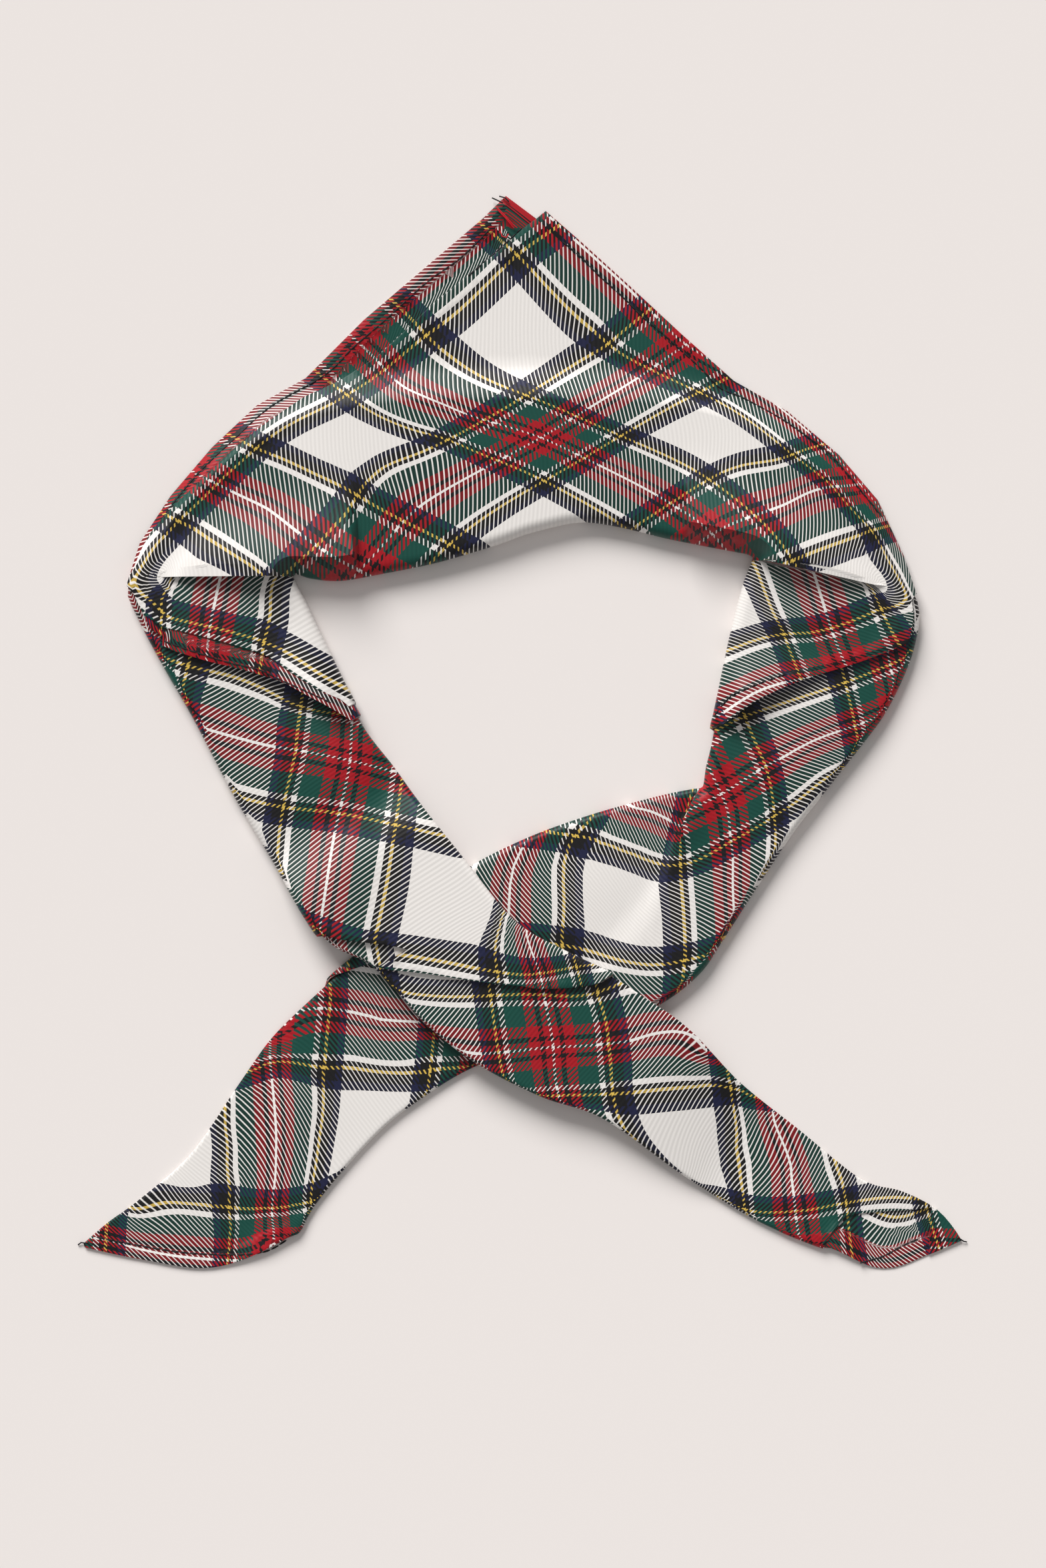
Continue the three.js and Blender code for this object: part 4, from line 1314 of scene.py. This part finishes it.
# Hem stitches: one short thread for each step along a line laid on the cloth
stitchLines = [
    [(13.6, 156.5), (19.4, 151.6), (24.1, 146.7), (32.4, 139.2), (37.8, 133.8), (47.2, 125.7), (57, 116.7),
     (63.5, 110.3), (70.3, 107.3), (81.4, 101.3), (88.7, 96.4), (97.7, 89.7), (104.1, 82.5), (108.4, 77.1),
     (113.1, 71.1)],
    [(-11.4, 160.4), (-20, 152), (-30.7, 144.3), (-44, 132.3), (-54.2, 123.5), (-63.5, 114.5), (-80.5, 104.5),
     (-92, 94), (-103, 83.6), (-111.5, 73.6)],
    [(-115.6, 29.4), (-106.7, 26.2), (-94.3, 22.3), (-84, 19.8), (-77.3, 16.6), (-69.8, 13.3), (-62.2, 9.8)],
    [(-1, 161), (-6.8, 155.5), (-16.5, 147.1)],
    [(82.3, 17.9), (73.4, 14.6), (66.5, 11.4), (62.2, 6.5)],
    [(109.3, -169.8), (115.5, -168), (121.3, -164.9), (125.5, -163)],
    [(-135.3, -162.1), (-127.9, -163.6), (-109.9, -166.6), (-94.9, -167.4), (-82.9, -166.6), (-76.9, -163.6)],
]
stitchMm = {"step": 2.9, "thick": 0.6, "long": 2.8}


def stitchTree(material):
    tree = bpy.data.node_groups.new("stitches", "GeometryNodeTree")
    tree.interface.new_socket("Geometry", in_out="INPUT", socket_type="NodeSocketGeometry")
    tree.interface.new_socket("Geometry", in_out="OUTPUT", socket_type="NodeSocketGeometry")
    make = tree.nodes.new
    start, end = make("NodeGroupInput"), make("NodeGroupOutput")
    steps = make("GeometryNodeResampleCurve")
    steps.mode = "LENGTH"
    steps.inputs["Length"].default_value = stitchMm["step"] / 1000
    tangent = make("GeometryNodeInputTangent")
    turn = make("FunctionNodeAlignRotationToVector")
    turn.axis = "Z"
    thread = make("GeometryNodeMeshUVSphere")
    thread.inputs["Segments"].default_value = 8
    thread.inputs["Rings"].default_value = 6
    thread.inputs["Radius"].default_value = 0.5 / 1000
    copies = make("GeometryNodeInstanceOnPoints")
    copies.inputs["Scale"].default_value = (stitchMm["thick"], stitchMm["thick"], stitchMm["long"])
    real = make("GeometryNodeRealizeInstances")
    look = make("GeometryNodeSetMaterial")
    look.inputs["Material"].default_value = material
    for source, target in (
        (start.outputs[0], steps.inputs["Curve"]),
        (steps.outputs[0], copies.inputs["Points"]),
        (thread.outputs[0], copies.inputs["Instance"]),
        (tangent.outputs[0], turn.inputs["Vector"]),
        (turn.outputs[0], copies.inputs["Rotation"]),
        (copies.outputs[0], real.inputs[0]),
        (real.outputs[0], look.inputs["Geometry"]),
        (look.outputs[0], end.inputs[0]),
    ):
        tree.links.new(source, target)
    return tree


def curveObject(name, lines, radius=0.0):
    data = bpy.data.curves.new(name, "CURVE")
    data.dimensions = "3D"
    data.bevel_depth = radius
    data.bevel_resolution = 2
    data.use_fill_caps = True
    for places in lines:
        spline = data.splines.new("POLY")
        spline.points.add(len(places) - 1)
        for point, place in zip(spline.points, places):
            point.co = (*place, 1.0)
    made = bpy.data.objects.new(name, data)
    bpy.context.scene.collection.objects.link(made)
    return made


def asMesh(curveMade, name):
    graph = bpy.context.evaluated_depsgraph_get()
    mesh = bpy.data.meshes.new_from_object(curveMade.evaluated_get(graph), depsgraph=graph)
    made = bpy.data.objects.new(name, mesh)
    bpy.context.scene.collection.objects.link(made)
    bpy.data.objects.remove(curveMade)
    return made


def fineLine(points, step=1.0):
    fine = []
    for i in range(len(points) - 1):
        count = max(1, round(apart(points[i], points[i + 1]) / step))
        fine += [curvePoint(points, i, k / count) for k in range(count)]
    return fine + [points[-1]]


threadBlack = plainMaterial("threadBlack", (22, 20, 24), 0.7)
guide = curveObject("stitchGuide", [[onCloth(x, y) for x, y in fineLine(line)] for line in stitchLines])
modifier = guide.modifiers.new("stitches", "NODES")
modifier.node_group = stitchTree(threadBlack)
stitches = asMesh(guide, "hemStitches")

# Loose threads at the corners: places across the floor and height, all in mm
frays = [
    {"dye": "black", "line": [(-9.8, 171.2, 1.4), (-8.2, 170.4, 1.9), (-6.4, 169.6, 1.3)]},
    {"dye": "black", "line": [(-7.5, 171.8, 0.9), (-5.6, 171.2, 1.5), (-4.4, 170.0, 1.2)]},
    {"dye": "red", "line": [(-8.4, 168.2, 1.5), (-5.8, 165.6, 2.0), (-3.2, 162.6, 1.8), (-1.8, 161.6, 1.4)]},
    {"dye": "red", "line": [(-8.0, 167.4, 1.5), (-5.4, 164.6, 2.1), (-2.9, 161.6, 1.6)]},
    {"dye": "red", "line": [(-7.2, 160.6, 1.6), (-6.6, 158.8, 2.1), (-5.2, 158.4, 2.2), (-4.6, 159.6, 1.6)]},
    {"dye": "black", "line": [(139.6, -162.0, 1.2), (141.4, -163.2, 0.8), (142.4, -163.4, 0.5)]},
    {"dye": "black", "line": [(-139.8, -163.8, 1.0), (-141.6, -163.6, 0.8), (-142.6, -164.4, 0.4)]},
]
frayRadius = 0.22
threads = {"black": threadBlack, "red": plainMaterial("threadRed", (190, 16, 34), 0.6)}
frayObjects = []
for dye, material in threads.items():
    lines = [[Vector(p) / 1000 for p in entry["line"]] for entry in frays if entry["dye"] == dye]
    loose = asMesh(curveObject(dye + "Guide", lines, radius=frayRadius / 1000), dye + "LooseThread")
    loose.data.materials.clear()
    loose.data.materials.append(material)
    frayObjects.append(loose)
for extra in [stitches] + frayObjects:
    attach(extra, "root")
stage("stitches")


floor = {"half": 7.0, "colour": (241, 235, 232), "roughness": 0.9}
fill = {"place": (0.3, -0.6, 2.4), "size": 1.6, "power": 2.0, "colour": (1.0, 0.985, 0.975)}
window = {"elevation": 32.0, "bearing": -22.0, "strength": 3.7, "softness": 30.0, "colour": (1.0, 0.985, 0.97)}
room = {"colour": (1.0, 0.985, 0.98, 1.0), "strength": 0.29}


def makeFloor():
    mesh = bpy.data.meshes.new("floor")
    half = floor["half"]
    mesh.from_pydata([(-half, -half, 0), (half, -half, 0), (half, half, 0), (-half, half, 0)], [], [(0, 1, 2, 3)])
    made = bpy.data.objects.new("floor", mesh)
    bpy.context.scene.collection.objects.link(made)
    mesh.materials.append(plainMaterial("paper", floor["colour"], floor["roughness"]))


def addLight(name, kind, away, **settings):
    data = bpy.data.lights.new(name, kind)
    for key, value in settings.items():
        setattr(data, key, value)
    lamp = bpy.data.objects.new(name, data)
    lamp.rotation_euler = (-away).to_track_quat("-Z", "Y").to_euler()
    bpy.context.scene.collection.objects.link(lamp)
    return lamp


def makeLights():
    place = Vector(fill["place"])
    lamp = addLight(
        "fillLight", "AREA", place, shape="DISK", size=fill["size"], energy=fill["power"], color=fill["colour"])
    lamp.location = place
    up, turn = math.radians(window["elevation"]), math.radians(window["bearing"])
    away = Vector((math.cos(up) * math.sin(turn), math.cos(up) * math.cos(turn), math.sin(up)))
    addLight(
        "windowLight", "SUN", away, energy=window["strength"], angle=math.radians(window["softness"]),
        color=window["colour"])


def makeWorld():
    world = bpy.data.worlds.new("room")
    bpy.context.scene.world = world
    world.use_nodes = True
    sky = next(n for n in world.node_tree.nodes if n.type == "BACKGROUND")
    sky.inputs[0].default_value = room["colour"]
    sky.inputs[1].default_value = room["strength"]


makeFloor()
makeLights()
makeWorld()
bpy.context.scene.view_settings.view_transform = "Standard"
stage("floor and lights")
